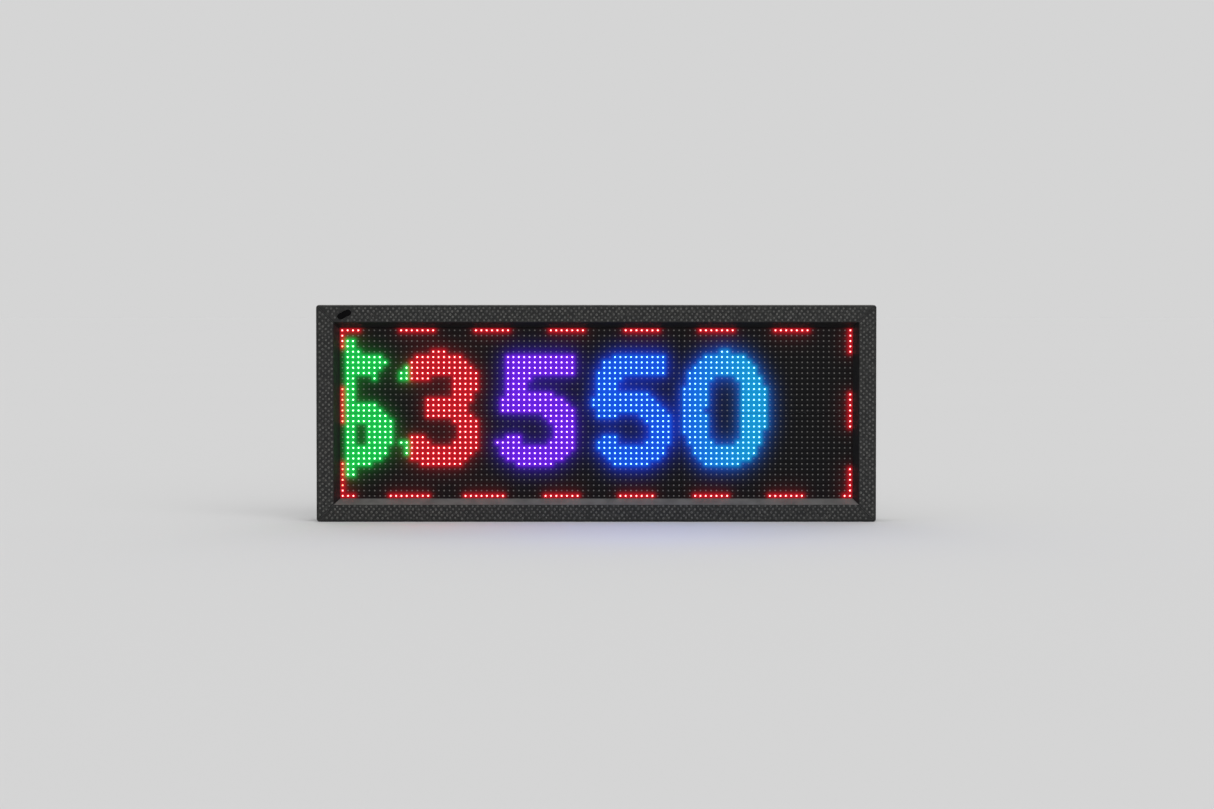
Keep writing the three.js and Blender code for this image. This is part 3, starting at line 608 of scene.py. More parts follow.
def light_pieces(name, first_row, first_column):
    """The lights of one module: a square package with a low clear dome."""
    seat_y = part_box(f"led_mask_{name}")[0].y + POCKET * MM
    part = Part(f"lights_{name}", "cabinet", "tinted_window", *KINDS)
    package = rectangle(PACKAGE_SIDE, PACKAGE_SIDE)
    for row in range(first_row, first_row + MODULE_ROWS):
        for column in range(first_column, first_column + MODULE_COLUMNS):
            x, z = light_place(column, row)
            place = facing(FRONTWARDS, x, seat_y, z)
            kind = lit_lights[column, row][1] if (column, row) in lit_lights else "dome"
            part.loft(place, [(package, 0), (package, PACKAGE_TALL)], KINDS.index("package"))
            part.turned(place, 8, DOME, KINDS.index(kind))
    paint_glow(part.build())


def painted_glow_material(name, colour, other, rough):
    """Black plastic or clear dome that emits the glow painted over it from the lights around."""
    n = Nodes(name)
    n.set(
        Specular_IOR_Level=0.12,
        Base_Color=n.mix(n.span(n.noise(120, 5), 0.35, 0.65), srgb(*colour), srgb(*other)),
        Roughness=n.span(n.noise(1400, 3), 0.3, 0.7, *rough),
        Emission_Color=n.make("VertexColor", layer_name="glow").outputs["Color"],
        Emission_Strength=1.0,
    )
    n.bump(n.noise(1400, 3), 0.2, 0.15 * MM)
    n.material.cycles.emission_sampling = "NONE"
    return n.material


def shining(name, colour, other, strength):
    """The bright centre of a lit light, which differs a little from one light to the next."""
    n = Nodes(name)
    tone = n.mix(n.span(n.noise(170, 2), 0.35, 0.65), (*colour, 1), (*other, 1))
    n.set(Base_Color=tone, Emission_Color=tone, Emission_Strength=strength)
    n.set(Roughness=n.span(n.noise(600, 2), 0.3, 0.7, 0.25, 0.4))
    n.material.cycles.emission_sampling = "NONE"
    return n.material


def build_display():
    finishes.update({
        "mask": painted_glow_material("mask_black", (9, 9, 10), (15, 15, 16), (0.55, 0.75)),
        "package": painted_glow_material("light_package", (12, 12, 13), (20, 20, 21), (0.4, 0.55)),
        "dome": painted_glow_material("light_dome", (92, 92, 90), (110, 108, 104), (0.2, 0.35)),
        "green": shining("lit_green", (0.2, 1.0, 0.25), (0.26, 1.0, 0.3), 8.0),
        "red": shining("lit_red", (1.0, 0.13, 0.13), (1.0, 0.17, 0.16), 9.0),
        "orange": shining("lit_orange", (1.0, 0.17, 0.09), (1.0, 0.22, 0.14), 5.0),
        "violet": shining("lit_violet", (0.4, 0.18, 1.0), (0.44, 0.24, 1.0), 6.0),
        "azure": shining("lit_azure", (0.11, 0.32, 1.0), (0.17, 0.38, 1.0), 6.0),
    })
    for name, first_row, first_column in MODULES:
        mask_piece(name, first_row, first_column)
        light_pieces(name, first_row, first_column)


# -------- frame
STUD_ROWS = 5
STUD_ACROSS = 5.6
STUD_ALONG = 10.5
STUD_MIDDLE = 17.8
STUD_RADIUS = 2.9


def stud_rows(name, length, place_of, blocked=None):
    """Pressed studs in staggered rows along the face of one rail, each with a lighter rim that is partly
    rubbed wear and partly a painted highlight.
    """
    dice = random.Random(name)
    part = Part(name, "cabinet", "frame_paint", "paint", "rim")
    count = int(length / MM / STUD_ALONG)
    for line in range(STUD_ROWS):
        across = STUD_MIDDLE + (line - (STUD_ROWS - 1) / 2) * STUD_ACROSS
        for i in range(-count // 2, count // 2 + 1):
            along = (i + line % 2 / 2) * STUD_ALONG + dice.uniform(-1.2, 1.2)
            size = dice.uniform(0.76, 1.06)
            u = across + dice.uniform(-0.8, 0.8)
            past_mitre = length / 2 / MM - abs(along) < u + 1.3 * STUD_RADIUS
            if past_mitre or blocked and blocked(along, u):
                continue
            x, z = place_of(along * MM, u * MM)
            place = facing(FRONTWARDS, x, front_y, z, dice.uniform(0, 1))
            r = STUD_RADIUS * size
            part.turned(place, 8, [(r, -0.2), (0.76 * r, 0.5 * size)])
            # The rim and crater are lighter, partly as rubbed wear and partly as a painted highlight on the
            # raised tops.
            part.turned(place, 8, [
                (0.76 * r, 0.3 * size), (0.62 * r, 0.64 * size), (0.36 * r, 0.62 * size), (0.16 * r, 0.25),
            ], 1)
    part.build(sharp=60)


def build_studs():
    window_x, window_z = middle(*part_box("light_sensor_window"))
    window_along = (window_x - sign_x) / MM
    window_u = (body_high.z - window_z) / MM

    def at_window(along, u):
        off = along - window_along
        return abs(off) < 17 and abs(u - window_u + 0.51 * off) < 12

    w, h = half_width, half_height
    stud_rows("studs_bottom", 2 * w, lambda along, u: (sign_x + along, sign_z - h + u))
    stud_rows("studs_top", 2 * w, lambda along, u: (sign_x + along, sign_z + h - u), at_window)
    stud_rows("studs_left", 2 * h, lambda along, u: (sign_x - w + u, sign_z + along))
    stud_rows("studs_right", 2 * h, lambda along, u: (sign_x + w - u, sign_z + along))


# -------- fasteners
def screw(part, place, size, paint=0):
    """A button-head screw with a hexagon socket, for a thread of that many millimetres."""
    part.loft(place @ Matrix.Scale(size, 4), [
        (circle(0.95, 12), 0),
        (circle(0.95, 12), 0.14),
        (circle(0.86, 12), 0.36),
        (circle(0.62, 12), 0.52),
        (hexagon(0.42), 0.54),
        (hexagon(0.4), 0.2),
    ], paint)


def washer(part, place, radius, thick):
    part.turned(place, 12, [(radius, 0), (radius, 0.7 * thick), (radius - 0.3 * thick, thick)])


def bolt(part, place, size):
    """A hexagon head on its washer."""
    washer(part, place, 1.15 * size, 0.2 * size)
    part.loft(place @ Matrix.Scale(size, 4), [
        (hexagon(0.98), 0.2),
        (hexagon(0.98), 0.72),
        (circle(0.8, 12), 0.84),
        (circle(0.45, 12), 0.84),
        (circle(0.4, 12), 0.76),
    ])


def corners(node, inset):
    """The four spots that far inside the corners of a node, seen from the front or back."""
    low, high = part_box(node)
    xs = low.x + inset * MM, high.x - inset * MM
    zs = low.z + inset * MM, high.z - inset * MM
    return [(x, z) for x in xs for z in zs]


def build_panel_screws():
    part = Part("panel_screws", "cabinet", "stainless", "steel")
    low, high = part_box("rear_panel")
    inset = 8.5 * MM
    across, up = 9, 4
    for i in range(across + 1):
        x = low.x + inset + (high.x - low.x - 2 * inset) * i / across
        for z in (low.z + inset, high.z - inset):
            screw(part, behind(x, panel_y, z, i), 4)
    for i in range(1, up):
        z = low.z + inset + (high.z - low.z - 2 * inset) * i / up
        for x in (low.x + inset, high.x - inset):
            screw(part, behind(x, panel_y, z, i), 4)
    part.build()


def build_hinge_screws():
    for place in ("lower", "upper"):
        for leaf, inwards in (("cabinet", 1), ("door", -1)):
            low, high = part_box(f"hinge_leaf_{leaf}_{place}")
            part = Part(f"hinge_screws_{leaf}_{place}", leaf, "stainless", "steel")
            outer, y = (low.x, panel_y + GAP + 2 * MM) if leaf == "cabinet" else (high.x, high.y)
            for inset in (7, 18):
                for z in (low.z + 12 * MM, high.z - 12 * MM):
                    screw(part, behind(outer + inwards * inset * MM, y, z, inset), 3.2)
            part.build()


def build_rail_bolts():
    """The bolts of the mounting rails, on the web inside each channel."""
    for side in ("left", "right"):
        low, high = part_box(f"mounting_rail_{side}")
        part = Part(f"rail_bolts_{side}", "cabinet", "zinc_steel", "steel")
        x = middle(low, high)[0]
        for share in (0.06, 0.5, 0.94):
            z = low.z + (high.z - low.z) * share
            bolt(part, behind(x, high.y - 9 * MM, z, share), 6)
        part.build()


def build_fitting_screws():
    """The corner screws of the fan, louvre and inlet: inset, height over the panel, thread."""
    part = Part("fitting_screws", "cabinet", "stainless", "steel")
    for x, z in corners("fan_frame", 4.3):
        washer(part, behind(x, panel_y, z), 4.6, 0.9)
    for node, inset, rise, size in (
        ("fan_frame", 4.3, 0.9, 4),
        ("intake_louvre", 6, 1.8, 3.2),
        ("solar_inlet", 3.6, 2.9, 2.4),
    ):
        for x, z in corners(node, inset):
            screw(part, behind(x, panel_y + rise * MM, z, x), size)
    part.build()


def build_corner_screws():
    """Two screws through the side of the frame into each corner key."""
    part = Part("corner_screws", "cabinet", "stainless", "steel")
    for side in (-1, 1):
        x = sign_x + side * (half_width - 0.9 * MM)
        for end in (-1, 1):
            z = sign_z + end * (half_height - 30 * MM)
            for y in (front_y + 13 * MM, front_y + 28 * MM):
                screw(part, facing((side, 0, 0), x, y, z, y), 3)
    part.build()


# -------- locks, inlet and fan
def build_lock(place):
    low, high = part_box(f"lock_barrel_{place}")
    x, z = middle(low, high)
    part = Part(f"lock_plug_{place}", f"{place}_lock", "stainless", "steel", "plastic")
    head = (door_y - low.y + GAP) / MM
    tip = (high.y - low.y) / MM
    part.turned(behind(x, low.y, z), 24, [
        (7, 0), (8, 1), (8, head), (11, head), (11, head + 1.4), (10.2, tip - 0.4), (9.4, tip),
        (6.2, tip), (6.0, tip - 1.6), (3.2, tip - 1.6), (2.6, tip - 0.4),
    ])
    recess = behind(x, high.y - 1.7 * MM, z)
    part.turned(recess, 24, [(5.9, 0), (5.9, 0.25)], 1)
    part.block(recess, 9.4, 1.8, 1.3)
    cam_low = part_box(f"lock_cam_{place}")[0].y
    bolt(part, facing(FRONTWARDS, x, cam_low, z), 5)
    part.build(f"lock_barrel_{place}")

    nut = Part(f"lock_nut_{place}", "door", "zinc_steel", "zinc")
    nut.loft(facing(FRONTWARDS, x, door_y - 2 * MM, z), [
        (circle(8.2, 12), 0),
        (hexagon(12.4), 0),
        (hexagon(12.4), 3.4),
        (circle(10.8, 12), 4),
        (circle(8.2, 12), 4),
    ], looped=True)
    nut.build()


def build_inlet():
    low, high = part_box("solar_inlet")
    x, z = middle(low, high)
    flange = (panel_y + GAP - low.y) / MM
    tall = (high.y - low.y) / MM
    part = Part("panel_inlet", "cabinet", "stainless", "steel", "plastic", "brass")
    place = behind(x, low.y, z)
    plate, top = rounded(28, 28, 4), rounded(27, 27, 4)
    part.loft(place, [(plate, flange), (plate, flange + 2), (top, flange + 2.6)])
    collar = [(9.2, 0), (9.2, flange + 2.4), (11, flange + 2.4)]
    turns = 6
    step = (tall - flange - 4.4) / turns
    for i in range(turns):
        base = flange + 3.4 + i * step
        collar += [(11, base), (10.2, base + 0.5 * step)]
    collar += [(11, tall - 0.6), (10.6, tall), (8.6, tall), (8.4, tall - 0.4), (8.4, flange + 3)]
    part.turned(place, 24, collar)
    part.turned(place, 24, [(8.3, flange + 2), (8.3, flange + 3.4), (7.9, flange + 3.8)], 1)
    for side in (-3.6, 3.6):
        pin = behind(x - side * MM, low.y + (flange + 3) * MM, z)
        part.turned(pin, 12, [(1.4, 0), (1.4, 5), (0.7, 6)], 2)
    part.build("solar_inlet")


FAN_BLADES = 7
BLADE_STEPS = 5
HUB_RADIUS, BLADE_REACH = 17, 36.3


def blade_section(step, depth):
    """The closed outline of a blade at one step from hub to tip: across, along the axis, outwards."""
    share = step / BLADE_STEPS
    radius = HUB_RADIUS - 1 + (BLADE_REACH - HUB_RADIUS + 1) * share
    pitch = radians(46 - 16 * share)
    chord = 11 + 8 * share
    stations = [-0.5, -0.25, 0, 0.25, 0.5]
    outline = []
    for t, side in [(t, 0.7) for t in stations] + [(t, -0.7) for t in reversed(stations)]:
        along = t * chord
        bow = 1.8 * (1 - 4 * t * t) + side * (1 - 1.2 * abs(t))
        across = along * cos(pitch) - bow * sin(pitch)
        axial = along * sin(pitch) + bow * cos(pitch)
        reach = radius
        if step == BLADE_STEPS:
            reach = min(radius, sqrt(max(BLADE_REACH**2 - across**2, 0)))
        outline.append((across, max(-depth / 2, min(depth / 2, axial)), reach))
    return outline


def build_impeller():
    low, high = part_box("fan_rotor")
    x, z = middle(*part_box("fan_frame"))
    depth = (high.y - low.y) / MM
    part = Part("fan_impeller", "rotor", "black_plastic", "plastic")
    part.turned(behind(x, low.y, z), 32, [
        (HUB_RADIUS - 1, 0), (HUB_RADIUS, 1), (HUB_RADIUS, depth - 1.5), (HUB_RADIUS - 1.5, depth),
        (9, depth), (8.6, depth - 0.5),
    ])
    sections = [blade_section(step, depth) for step in range(BLADE_STEPS + 1)]
    faces = skin(len(sections[0]), len(sections), flipped=True)
    for blade in range(FAN_BLADES):
        turn = Matrix.Rotation(2 * pi * blade / FAN_BLADES, 4, "Y")
        place = Matrix.Translation((x, (low.y + high.y) / 2, z)) @ turn @ Matrix.Scale(MM, 4)
        part.add([place @ Vector(point) for outline in sections for point in outline], faces)
    part.build("fan_rotor")


def build_guard():
    """Rings of wire on four spokes, each with an eye for its screw, and a plate over the hub."""
    low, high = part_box("fan_guard")
    x, z = middle(*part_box("fan_frame"))
    wire = (high.y - low.y) / 2
    y = (high.y + low.y) / 2
    part = Part("fan_grille", "cabinet", "stainless", "steel")

    def ring(radius, count, cx, cy, cz):
        path = [(cx + a * MM, cy, cz + b * MM) for a, b in circle(radius, count)]
        part.tube(path, 0.62 * wire, looped=True)

    for radius in (38.4, 32.6, 26.8, 21, 15.2):
        ring(radius, 48, x, y + 0.25 * wire, z)
    spoke_y = y - 0.3 * wire
    for quarter in range(4):
        turn = pi / 4 + quarter * pi / 2
        dx, dz = cos(turn) * MM, sin(turn) * MM
        part.tube([(x + r * dx, spoke_y, z + r * dz) for r in (13, 28.5, 44)], 0.62 * wire)
        ring(5.4, 16, x + 50.2 * dx, spoke_y, z + 50.2 * dz)
    part.turned(behind(x, y - 0.9 * wire, z), 32, [(14.4, 0), (14.4, 1.2), (13.6, 1.6)])
    part.build("fan_guard")


# -------- electronics
BOARD_FINISHES = ["solder", "plastic", "steel", "tan", "white"]
BLACK, METAL, TAN, WHITE = range(1, 5)
SHELL_WIDTH, SHELL_HEIGHT, SHELL_RIB = 318.4, 158.4, 5
BAYS_ACROSS, BAYS_UP = 4, 2


def chip(part, place, width, height, thick, pins):
    """A flat package with a row of legs along its two long sides."""
    part.block(moved(place, 0, 0, 0.3), width, height, thick, 0.25, BLACK)
    for i in range(pins):
        x = (i - (pins - 1) / 2) * (width - 1.2) / max(pins - 1, 1)
        for side in (-1, 1):
            part.block(moved(place, x, side * (height / 2 + 0.6)), 0.5, 1.6, 0.8, 0.15, METAL)


def can(part, place, radius, tall):
    """An upright capacitor with a shrunk sleeve and a scored top."""
    part.turned(place, 16, [
        (radius, 0), (radius, 0.6), (0.94 * radius, 1.1), (radius, 1.6), (radius, tall - 0.6),
        (0.9 * radius, tall),
    ], BLACK)
    part.turned(place, 16, [(0.84 * radius, tall - 0.1), (0.8 * radius, tall + 0.15)], METAL)


def module_electronics(name):
    """What shows through the rear shell of a module: its board, drivers and small parts."""
    x, z = middle(*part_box(f"led_mask_{name}"))
    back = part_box(f"led_board_{name}")[0].y + 1.6 * MM
    dice = random.Random(name)
    part = Part(f"drivers_{name}", "cabinet", "circuit_green", *BOARD_FINISHES[:WHITE])
    width = (SHELL_WIDTH - (BAYS_ACROSS + 1) * SHELL_RIB) / BAYS_ACROSS
    height = (SHELL_HEIGHT - (BAYS_UP + 1) * SHELL_RIB) / BAYS_UP
    for i in range(BAYS_ACROSS):
        for j in range(BAYS_UP):
            outwards = 1 if j else -1
            bay_x = x + (i - (BAYS_ACROSS - 1) / 2) * (width + SHELL_RIB) * MM
            bay_z = z + (j - (BAYS_UP - 1) / 2) * (height + SHELL_RIB) * MM
            bay = behind(bay_x, back, bay_z)
            part.block(bay, width - 0.4, height - 0.4, 0.25, 0.1)
            for side in (-13, 13):
                chip(part, moved(bay, side, 10 * outwards, 0.25), 13, 5.4, 1.7, 12)
                for line in range(7):
                    spot = moved(bay, side + (line - 3) * 2.6, -14 + dice.uniform(-0.2, 0.2), 0.25)
                    part.block(spot, 1.2, 2.0, 0.7, 0.15, TAN if line % 3 else BLACK)
            can(part, moved(bay, -2, -15.6 * outwards, 0.25), 2.6, 6)
    part.build()


def build_card():
    """The controller: a board on posts, with its processor, connector, terminals and small parts."""
    low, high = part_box("controller_card")
    part = Part("control_board", "cabinet", "circuit_green", *BOARD_FINISHES)
    x, z = middle(low, high)
    width, height = (high.x - low.x) / MM, (high.z - low.z) / MM
    stand, thick = 6, 1.6
    base = behind(x, low.y, z)
    plate = rounded(width, height, 3)
    part.loft(base, [(plate, stand), (plate, stand + thick)])
    for post_x, post_z in corners("controller_card", 5):
        post = behind(post_x, low.y, post_z)
        part.loft(post, [(hexagon(3), 0), (hexagon(3), stand)], METAL)
        screw(part, behind(post_x, low.y + (stand + thick) * MM, post_z, post_x), 3, METAL)

    def at(dx, dz):
        """A spot on the board, from its lower left corner as somebody at the front sees it."""
        return moved(base, width / 2 - dx, dz - height / 2, stand + thick)

    processor = at(29, 41)
    chip(part, processor, 20, 20, 1.8, 16)
    for i in range(16):
        for side in (-1, 1):
            part.block(moved(processor, side * 10.6, (i - 7.5) * 1.2), 1.6, 0.5, 0.8, 0.15, METAL)
    chip(part, at(59, 63), 12, 7.6, 1.5, 10)
    can(part, at(28, 76), 7.6, 9)
    part.block(at(60, 10), 19, 11, 8.6, 0.5, WHITE)
    for i in range(4):
        part.turned(moved(at(53 + i * 4.7, 10), 0, 0, 8.5), 12, [(1.7, 0), (1.7, 0.3), (0.4, 0.2)], METAL)
    feed_low, feed_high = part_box("ribbon_feed")
    plug_x = (feed_low.x - low.x) / MM + 4
    plug_z = (middle(feed_low, feed_high)[1] - low.z) / MM
    part.block(at(plug_x, plug_z), 8.8, 26.6, 5.8, 0.4, BLACK)
    dice = random.Random(7)
    for i in range(26):
        dx = dice.uniform(10, width - 24)
        dz = dice.uniform(16, 28) if i % 2 else dice.uniform(54, 60)
        part.block(at(dx, dz), 2.0, 1.2, 0.7, 0.15, TAN if i % 3 else BLACK)
    part.build("controller_card")


CELL_ROWS, CELL_STEPS = 4, 12


def battery_section(tall, thick, shrink):
    """The side of the pack, down over its cells on one face and back up on the other."""
    last = CELL_ROWS * CELL_STEPS
    cell = (tall - 2 * shrink) / CELL_ROWS
    line = []
    for i in range(last + 1):
        v = i / CELL_STEPS % 1 if i < last else 1
        bulge = sqrt(max(0.0, 1 - (2 * v - 1) ** 2))
        reach = thick / 2 * (0.72 + 0.28 * min(1, 1.25 * bulge))
        end = min(i, last - i) / CELL_STEPS * 2
        if end < 1:
            reach = thick / 2 * sqrt(1 - (1 - end) ** 2) if end > 0 else 0.6
        line.append((reach - shrink, (i / CELL_STEPS - CELL_ROWS / 2) * cell))
    return [(-x, y) for x, y in reversed(line)] + line


def build_battery():
    """Round cells lying side by side under a shrunk sleeve, three lengths end to end."""
    low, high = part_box("battery_pack")
    part = Part("battery_cells", "cabinet", "cell_wrap", "wrap")
    length = (high.x - low.x) / MM
    spans = [(1.6, 0), (0.5, 1.2), (0.1, 3)]
    for joint in (length / 3, 2 * length / 3):
        spans += [(0.1, joint - 4), (0.9, joint), (0.1, joint + 4)]
    spans += [(0.1, length - 3), (0.5, length - 1.2), (1.6, length)]
    tall, thick = (high.z - low.z) / MM, (high.y - low.y) / MM
    place = facing((1, 0, 0), low.x, (low.y + high.y) / 2, middle(low, high)[1])
    part.loft(place, [(battery_section(tall, thick, shrink), along) for shrink, along in spans])
    part.build("battery_pack")


def build_fuses():
    low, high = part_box("fuse_block")
    part = Part("blade_fuses", "cabinet", "black_plastic", "steel", "fuse_red", "fuse_blue", "fuse_amber")
    z = middle(low, high)[1]
    for i in range(8):
        place = behind(low.x + (14.5 + i * 22) * MM, high.y - 3.5 * MM, z)
        part.block(place, 14.6, 10.6, 4.6, 0.8, 1 + i % 3)
        for side in (-4.4, 4.4):
            part.block(moved(place, side, 0, 4.4), 3.4, 2.2, 0.8, 0.2)
    part.build()


def build_charger_fittings():
    """The window, lamps and terminals of the charge controller."""
    low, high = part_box("charge_controller")
    x, z = middle(low, high)
    part = Part("charger_fittings", "cabinet", "charger_case", "plastic", "steel", "white")
    cover = behind(x, high.y, z)
    pane = rounded(70, 52, 5)
    part.loft(moved(cover, 0, 8), [(pane, -0.2), (pane, 0.3), (rounded(69, 51, 5), 0.5)])
    for side in (-12, 0, 12):
        part.turned(moved(cover, side, -18), 12, [(2, -0.1), (1.9, 0.5), (1, 0.9)], 2)
    for i in range(8):
        slot_x = x + (i - 3.5) * 8.6 * MM
        slot_z = low.z + 2.8 * MM
        part.block(behind(slot_x, high.y - 10.2 * MM, slot_z), 7.4, 4.6, 2.2, 0.4)
        lug = behind(slot_x, high.y - 8.1 * MM, slot_z)
        part.turned(lug, 12, [(1.8, -0.1), (1.8, 0.4), (0.5, 0.25)], 1)
    part.build()


def build_tray_screws():
    """Screws of the strap, the charge controller and the tray. A spot is across, up, above the tray."""
    part = Part("tray_screws", "cabinet", "zinc_steel", "zinc")
    low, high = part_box("equipment_tray")
    strap_low, strap_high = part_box("battery_strap")
    strap_x = middle(strap_low, strap_high)[0]
    spots = [(strap_x, strap_low.z + 4.6 * MM, 1.8), (strap_x, strap_high.z - 6 * MM, 1.8)]
    for x, z in corners("charge_controller", 6)[1::2]:
        spots.append((x, z - 1 * MM, 4.3))
    for x in (low.x + 14 * MM, low.x + 0.62 * (high.x - low.x), high.x - 12 * MM):
        spots.append((x, low.z + 8 * MM, -9.9))
    for x, z, rise in spots:
        screw(part, behind(x, tray_y + rise * MM, z, x), 4)
    part.build()


def build_cable_ties():
    part = Part("cable_ties", "cabinet", "black_plastic", "white")
    loom_y = tray_y + 4 * MM
    trunk_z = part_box("equipment_tray")[0].z + 170 * MM
    for x in (-118, -40, 34, 108, 176):
        path = [(x * MM, loom_y + b * MM, trunk_z + a * MM) for a, b in circle(4.1, 16)]
        part.tube(path, 0.7 * MM, looped=True, up=(1, 0, 0))
        part.block(behind(x * MM, loom_y + 3.8 * MM, trunk_z), 3.6, 3.4, 2.6, 0.4)
    part.build()


# -------- finishes
# Key: name, two tones, roughness, metal, scale of the drift, scale, strength and depth of the grain.
PLAIN_FINISHES = {
    # The stud rims: lighter partly as rubbed wear and partly as a painted highlight.
    "rim": ("rubbed_rim_with_painted_highlight", (60, 61, 59), (88, 88, 84), (0.35, 0.5), 0.0, 45, 1500, 0.2, 0.15),
    "shell": ("module_shell", (28, 29, 31), (38, 39, 41), (0.45, 0.62), 0.0, 25, 1300, 0.2, 0.15),
    "cast": ("cast_elbow", (150, 152, 154), (128, 130, 133), (0.4, 0.55), 0.9, 50, 700, 0.4, 0.3),
    "rubber": ("seal_rubber", (20, 20, 20), (30, 30, 29), (0.7, 0.88), 0.0, 60, 1200, 0.3, 0.2),
    "charger": ("charger_enamel", (32, 64, 96), (40, 76, 112), (0.35, 0.5), 0.0, 22, 1000, 0.2, 0.2),
    "sink": ("sink_alloy", (108, 112, 117), (90, 94, 99), (0.34, 0.5), 0.85, 30, 900, 0.15, 0.15),
    "tan": ("ceramic_tan", (150, 120, 84), (170, 140, 104), (0.4, 0.6), 0.0, 90, 1500, 0.1, 0.1),
    "white": ("nylon_white", (206, 206, 200), (222, 222, 216), (0.4, 0.55), 0.0, 60, 1200, 0.1, 0.1),
    "brass": ("contact_brass", (214, 180, 104), (190, 156, 84), (0.22, 0.36), 1.0, 90, 1500, 0.1, 0.1),
    "fuse_red": ("fuse_red", (186, 30, 28), (206, 44, 38), (0.2, 0.32), 0.0, 90, 900, 0.08, 0.1),
    "fuse_blue": ("fuse_blue", (36, 92, 190), (50, 110, 206), (0.2, 0.32), 0.0, 90, 900, 0.08, 0.1),
    "fuse_amber": ("fuse_amber", (214, 140, 30), (226, 156, 48), (0.2, 0.32), 0.0, 90, 900, 0.08, 0.1),
}
# The finish of the nodes whose names start this way, and the radius of their edges.
NODE_FINISHES = {
    "frame_rail": ("paint", 0.6),
    "corner_key": ("cast", 0.5),
    "light_sensor_window": ("window", 0.4),
    "led_board": ("shell", 0),
    "module_keel": ("zinc", 0.4),
    "ribbon": ("ribbon", 0),
    "wiring_loom": ("jacket", 0),
    "equipment_tray": ("zinc", 0.3),
    "battery_strap": ("zinc", 0.3),
    "charge_controller": ("charger", 0.7),
    "dc_converter": ("sink", 0.4),
    "fuse_block": ("plastic", 0.5),
    "rear_panel": ("panel", 0.4),
    "rear_door": ("panel", 0.7),
    "door_gasket": ("rubber", 0.6),
    "hinge": ("steel", 0.35),
    "lock_cam": ("zinc", 0.4),
    "fan_frame": ("plastic", 0.5),
    "intake_louvre": ("panel", 0.3),
    "switch": ("plastic", 0.5),
    "service_port": ("plastic", 0.5),
    "port_cap": ("rubber", 0.6),
    "mounting_rail": ("zinc", 0.5),
}


def polish(node, material, edge):
    """Gives a node its material, and breaks its sharp edges."""
    if node.data.materials:
        node.data.materials[0] = material
    else:
        node.data.materials.append(material)
    if not edge:
        return
    adjusted(node.modifiers.new("weld", "WELD"), merge_threshold=0.01 * MM)
    adjusted(
        node.modifiers.new("edges", "BEVEL"), width=edge * MM, segments=2, use_clamp_overlap=True,
        limit_method="ANGLE", angle_limit=radians(40),
    )


def finish_nodes():
    for name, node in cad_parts.items():
        for prefix, (key, edge) in NODE_FINISHES.items():
            if name.startswith(prefix):
                polish(node, finishes[key], edge)


def build_finishes():
    finishes.update({key: surface(*row) for key, row in PLAIN_FINISHES.items()})
    finishes.update({
        "paint": frame_coating(),
        "ribbon": ribboned(),
        "jacket": paired(),
        "zinc": galvanised(),
        "steel": surface(
            "stainless_steel", (196, 198, 200), (172, 174, 176), (0.2, 0.34), 1.0, 60, 1400, 0.1, 0.1,
            worn=(120, 118, 114),
        ),
        "panel": surface(
            "panel_coating", (55, 57, 59), (69, 71, 73), (0.4, 0.6), 0.0, 9, 1100, 0.3, 0.25,
            worn=(86, 87, 88), scratch=(1, 1, 0.7), dust=0.15,
        ),
        "plastic": surface(
            "black_plastic", (24, 24, 25), (33, 33, 34), (0.36, 0.5), 0.0, 40, 1600, 0.18, 0.15,
            worn=(60, 60, 60),
        ),
        "solder": surface(
            "solder_mask", (10, 72, 40), (20, 92, 54), (0.26, 0.4), 0.0, 70, 2200, 0.15, 0.1,
            worn=(60, 120, 80), scratch=(1, 1, 0.1),
        ),
        "wrap": surface(
            "sleeve_blue", (18, 70, 160), (26, 88, 184), (0.22, 0.36), 0.0, 14, 500, 0.12, 0.3,
            worn=(120, 150, 200), scratch=(0.2, 1, 1), Coat_Weight=0.3,
        ),
        "window": surface(
            "smoked_window", (2, 2, 3), (5, 5, 6), (0.1, 0.2), 0.0, 60, 900, 0.02, 0.05,
            Specular_IOR_Level=0.06,
        ),
    })


# -------- floor, light and camera
BACKDROP = 0.665
FLOOR_DARK, FLOOR_LIGHT = 0.670, 0.678
FLOOR_RADIUS = 80
SUN_SPREAD = radians(60)
CAMERA_DISTANCE = 6.0
CAMERA_HEIGHT = 0.41
SENSOR_WIDTH = 36
VIEW_WIDTH = 2.2635
AIM_RIGHT, AIM_UP = 0.02, 0.0168


def grey(value):
    return (value, value, value, 1)


def build_floor():
    n = Nodes("studio_floor")
    tone = n.mix(n.noise(0.6, 3), grey(FLOOR_DARK), grey(FLOOR_LIGHT))
    n.set(Base_Color=tone, Roughness=1.0, Specular_IOR_Level=0.0)
    mesh = bpy.data.meshes.new("floor")
    rim = [(x, y, 0) for x, y in circle(FLOOR_RADIUS, 96)]
    mesh.from_pydata(rim, [], [tuple(range(len(rim)))])
    mesh.materials.append(n.material)
    placed("floor", mesh)


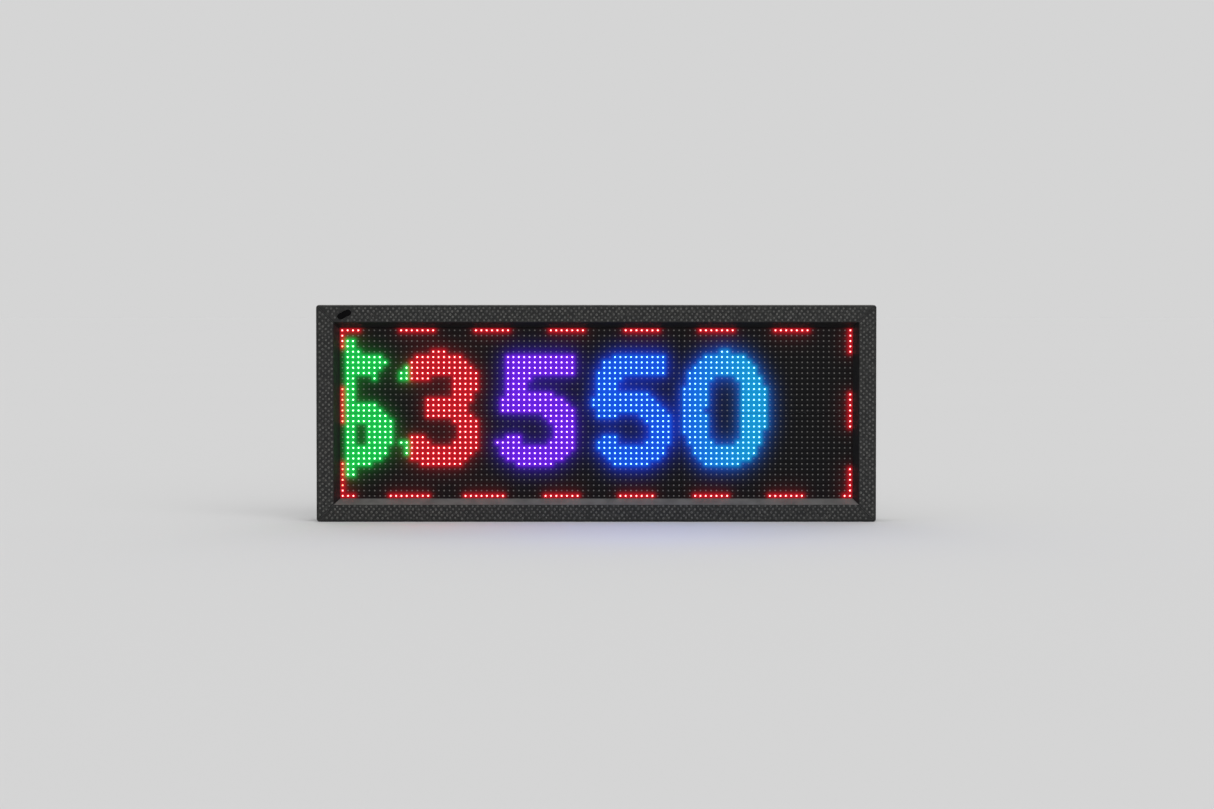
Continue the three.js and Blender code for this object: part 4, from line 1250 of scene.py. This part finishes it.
def build_lights():
    """Even light all round, two soft suns, and the tint that the display throws on the floor."""
    world = bpy.data.worlds.new("studio")
    world.use_nodes = True
    world.node_tree.nodes["Background"].inputs["Color"].default_value = grey(BACKDROP)
    bpy.context.scene.world = world

    for name, strength, aim in (("front_light", 1.3, (-0.35, 1, -0.6)), ("back_light", 0.9, (0, -1, -0.45))):
        sun = adjusted(bpy.data.lights.new(name, "SUN"), energy=strength, angle=SUN_SPREAD)
        placed(name, sun).rotation_euler = Vector(aim).to_track_quat("-Z", "Y").to_euler()

    for name, colour, power, column, ahead, height, (width, tall) in (
        ("red_spill", (1, 0.1, 0.1), 0.018, 18, 0.12, 0.16, (0.14, 0.08)),
        ("blue_spill", (0.02, 0.12, 1), 0.24, 57, 0.36, 0.32, (0.26, 0.4)),
    ):
        spill = bpy.data.lights.new(name, "AREA")
        adjusted(spill, shape="RECTANGLE", size=width, size_y=tall, color=colour, energy=power)
        place = (light_place(column, 0)[0], front_y - ahead, height)
        adjusted(placed(name, spill), location=place, visible_camera=False)


def build_camera():
    """Square to the sign and level with its top, with the sign a little left of and below the middle."""
    data = bpy.data.cameras.new("camera")
    lens = SENSOR_WIDTH * CAMERA_DISTANCE / VIEW_WIDTH
    camera = placed("camera", adjusted(data, sensor_width=SENSOR_WIDTH, lens=lens, clip_end=300))
    target = Vector((sign_x + AIM_RIGHT, front_y, sign_z + AIM_UP))
    camera.location = (target.x, front_y - CAMERA_DISTANCE, CAMERA_HEIGHT)
    camera.rotation_euler = (target - camera.location).to_track_quat("-Z", "Y").to_euler()
    bpy.context.scene.camera = camera
    bpy.context.scene.view_settings.view_transform = "Standard"


build_camera()
build_floor()
build_lights()
build_finishes()
finish_nodes()
build_display()
build_studs()
build_panel_screws()
build_hinge_screws()
build_rail_bolts()
build_fitting_screws()
build_corner_screws()
build_lock("upper")
build_lock("lower")
build_inlet()
build_impeller()
build_guard()
for module, _, _ in MODULES:
    module_electronics(module)
build_card()
build_battery()
build_fuses()
build_charger_fittings()
build_tray_screws()
build_cable_ties()
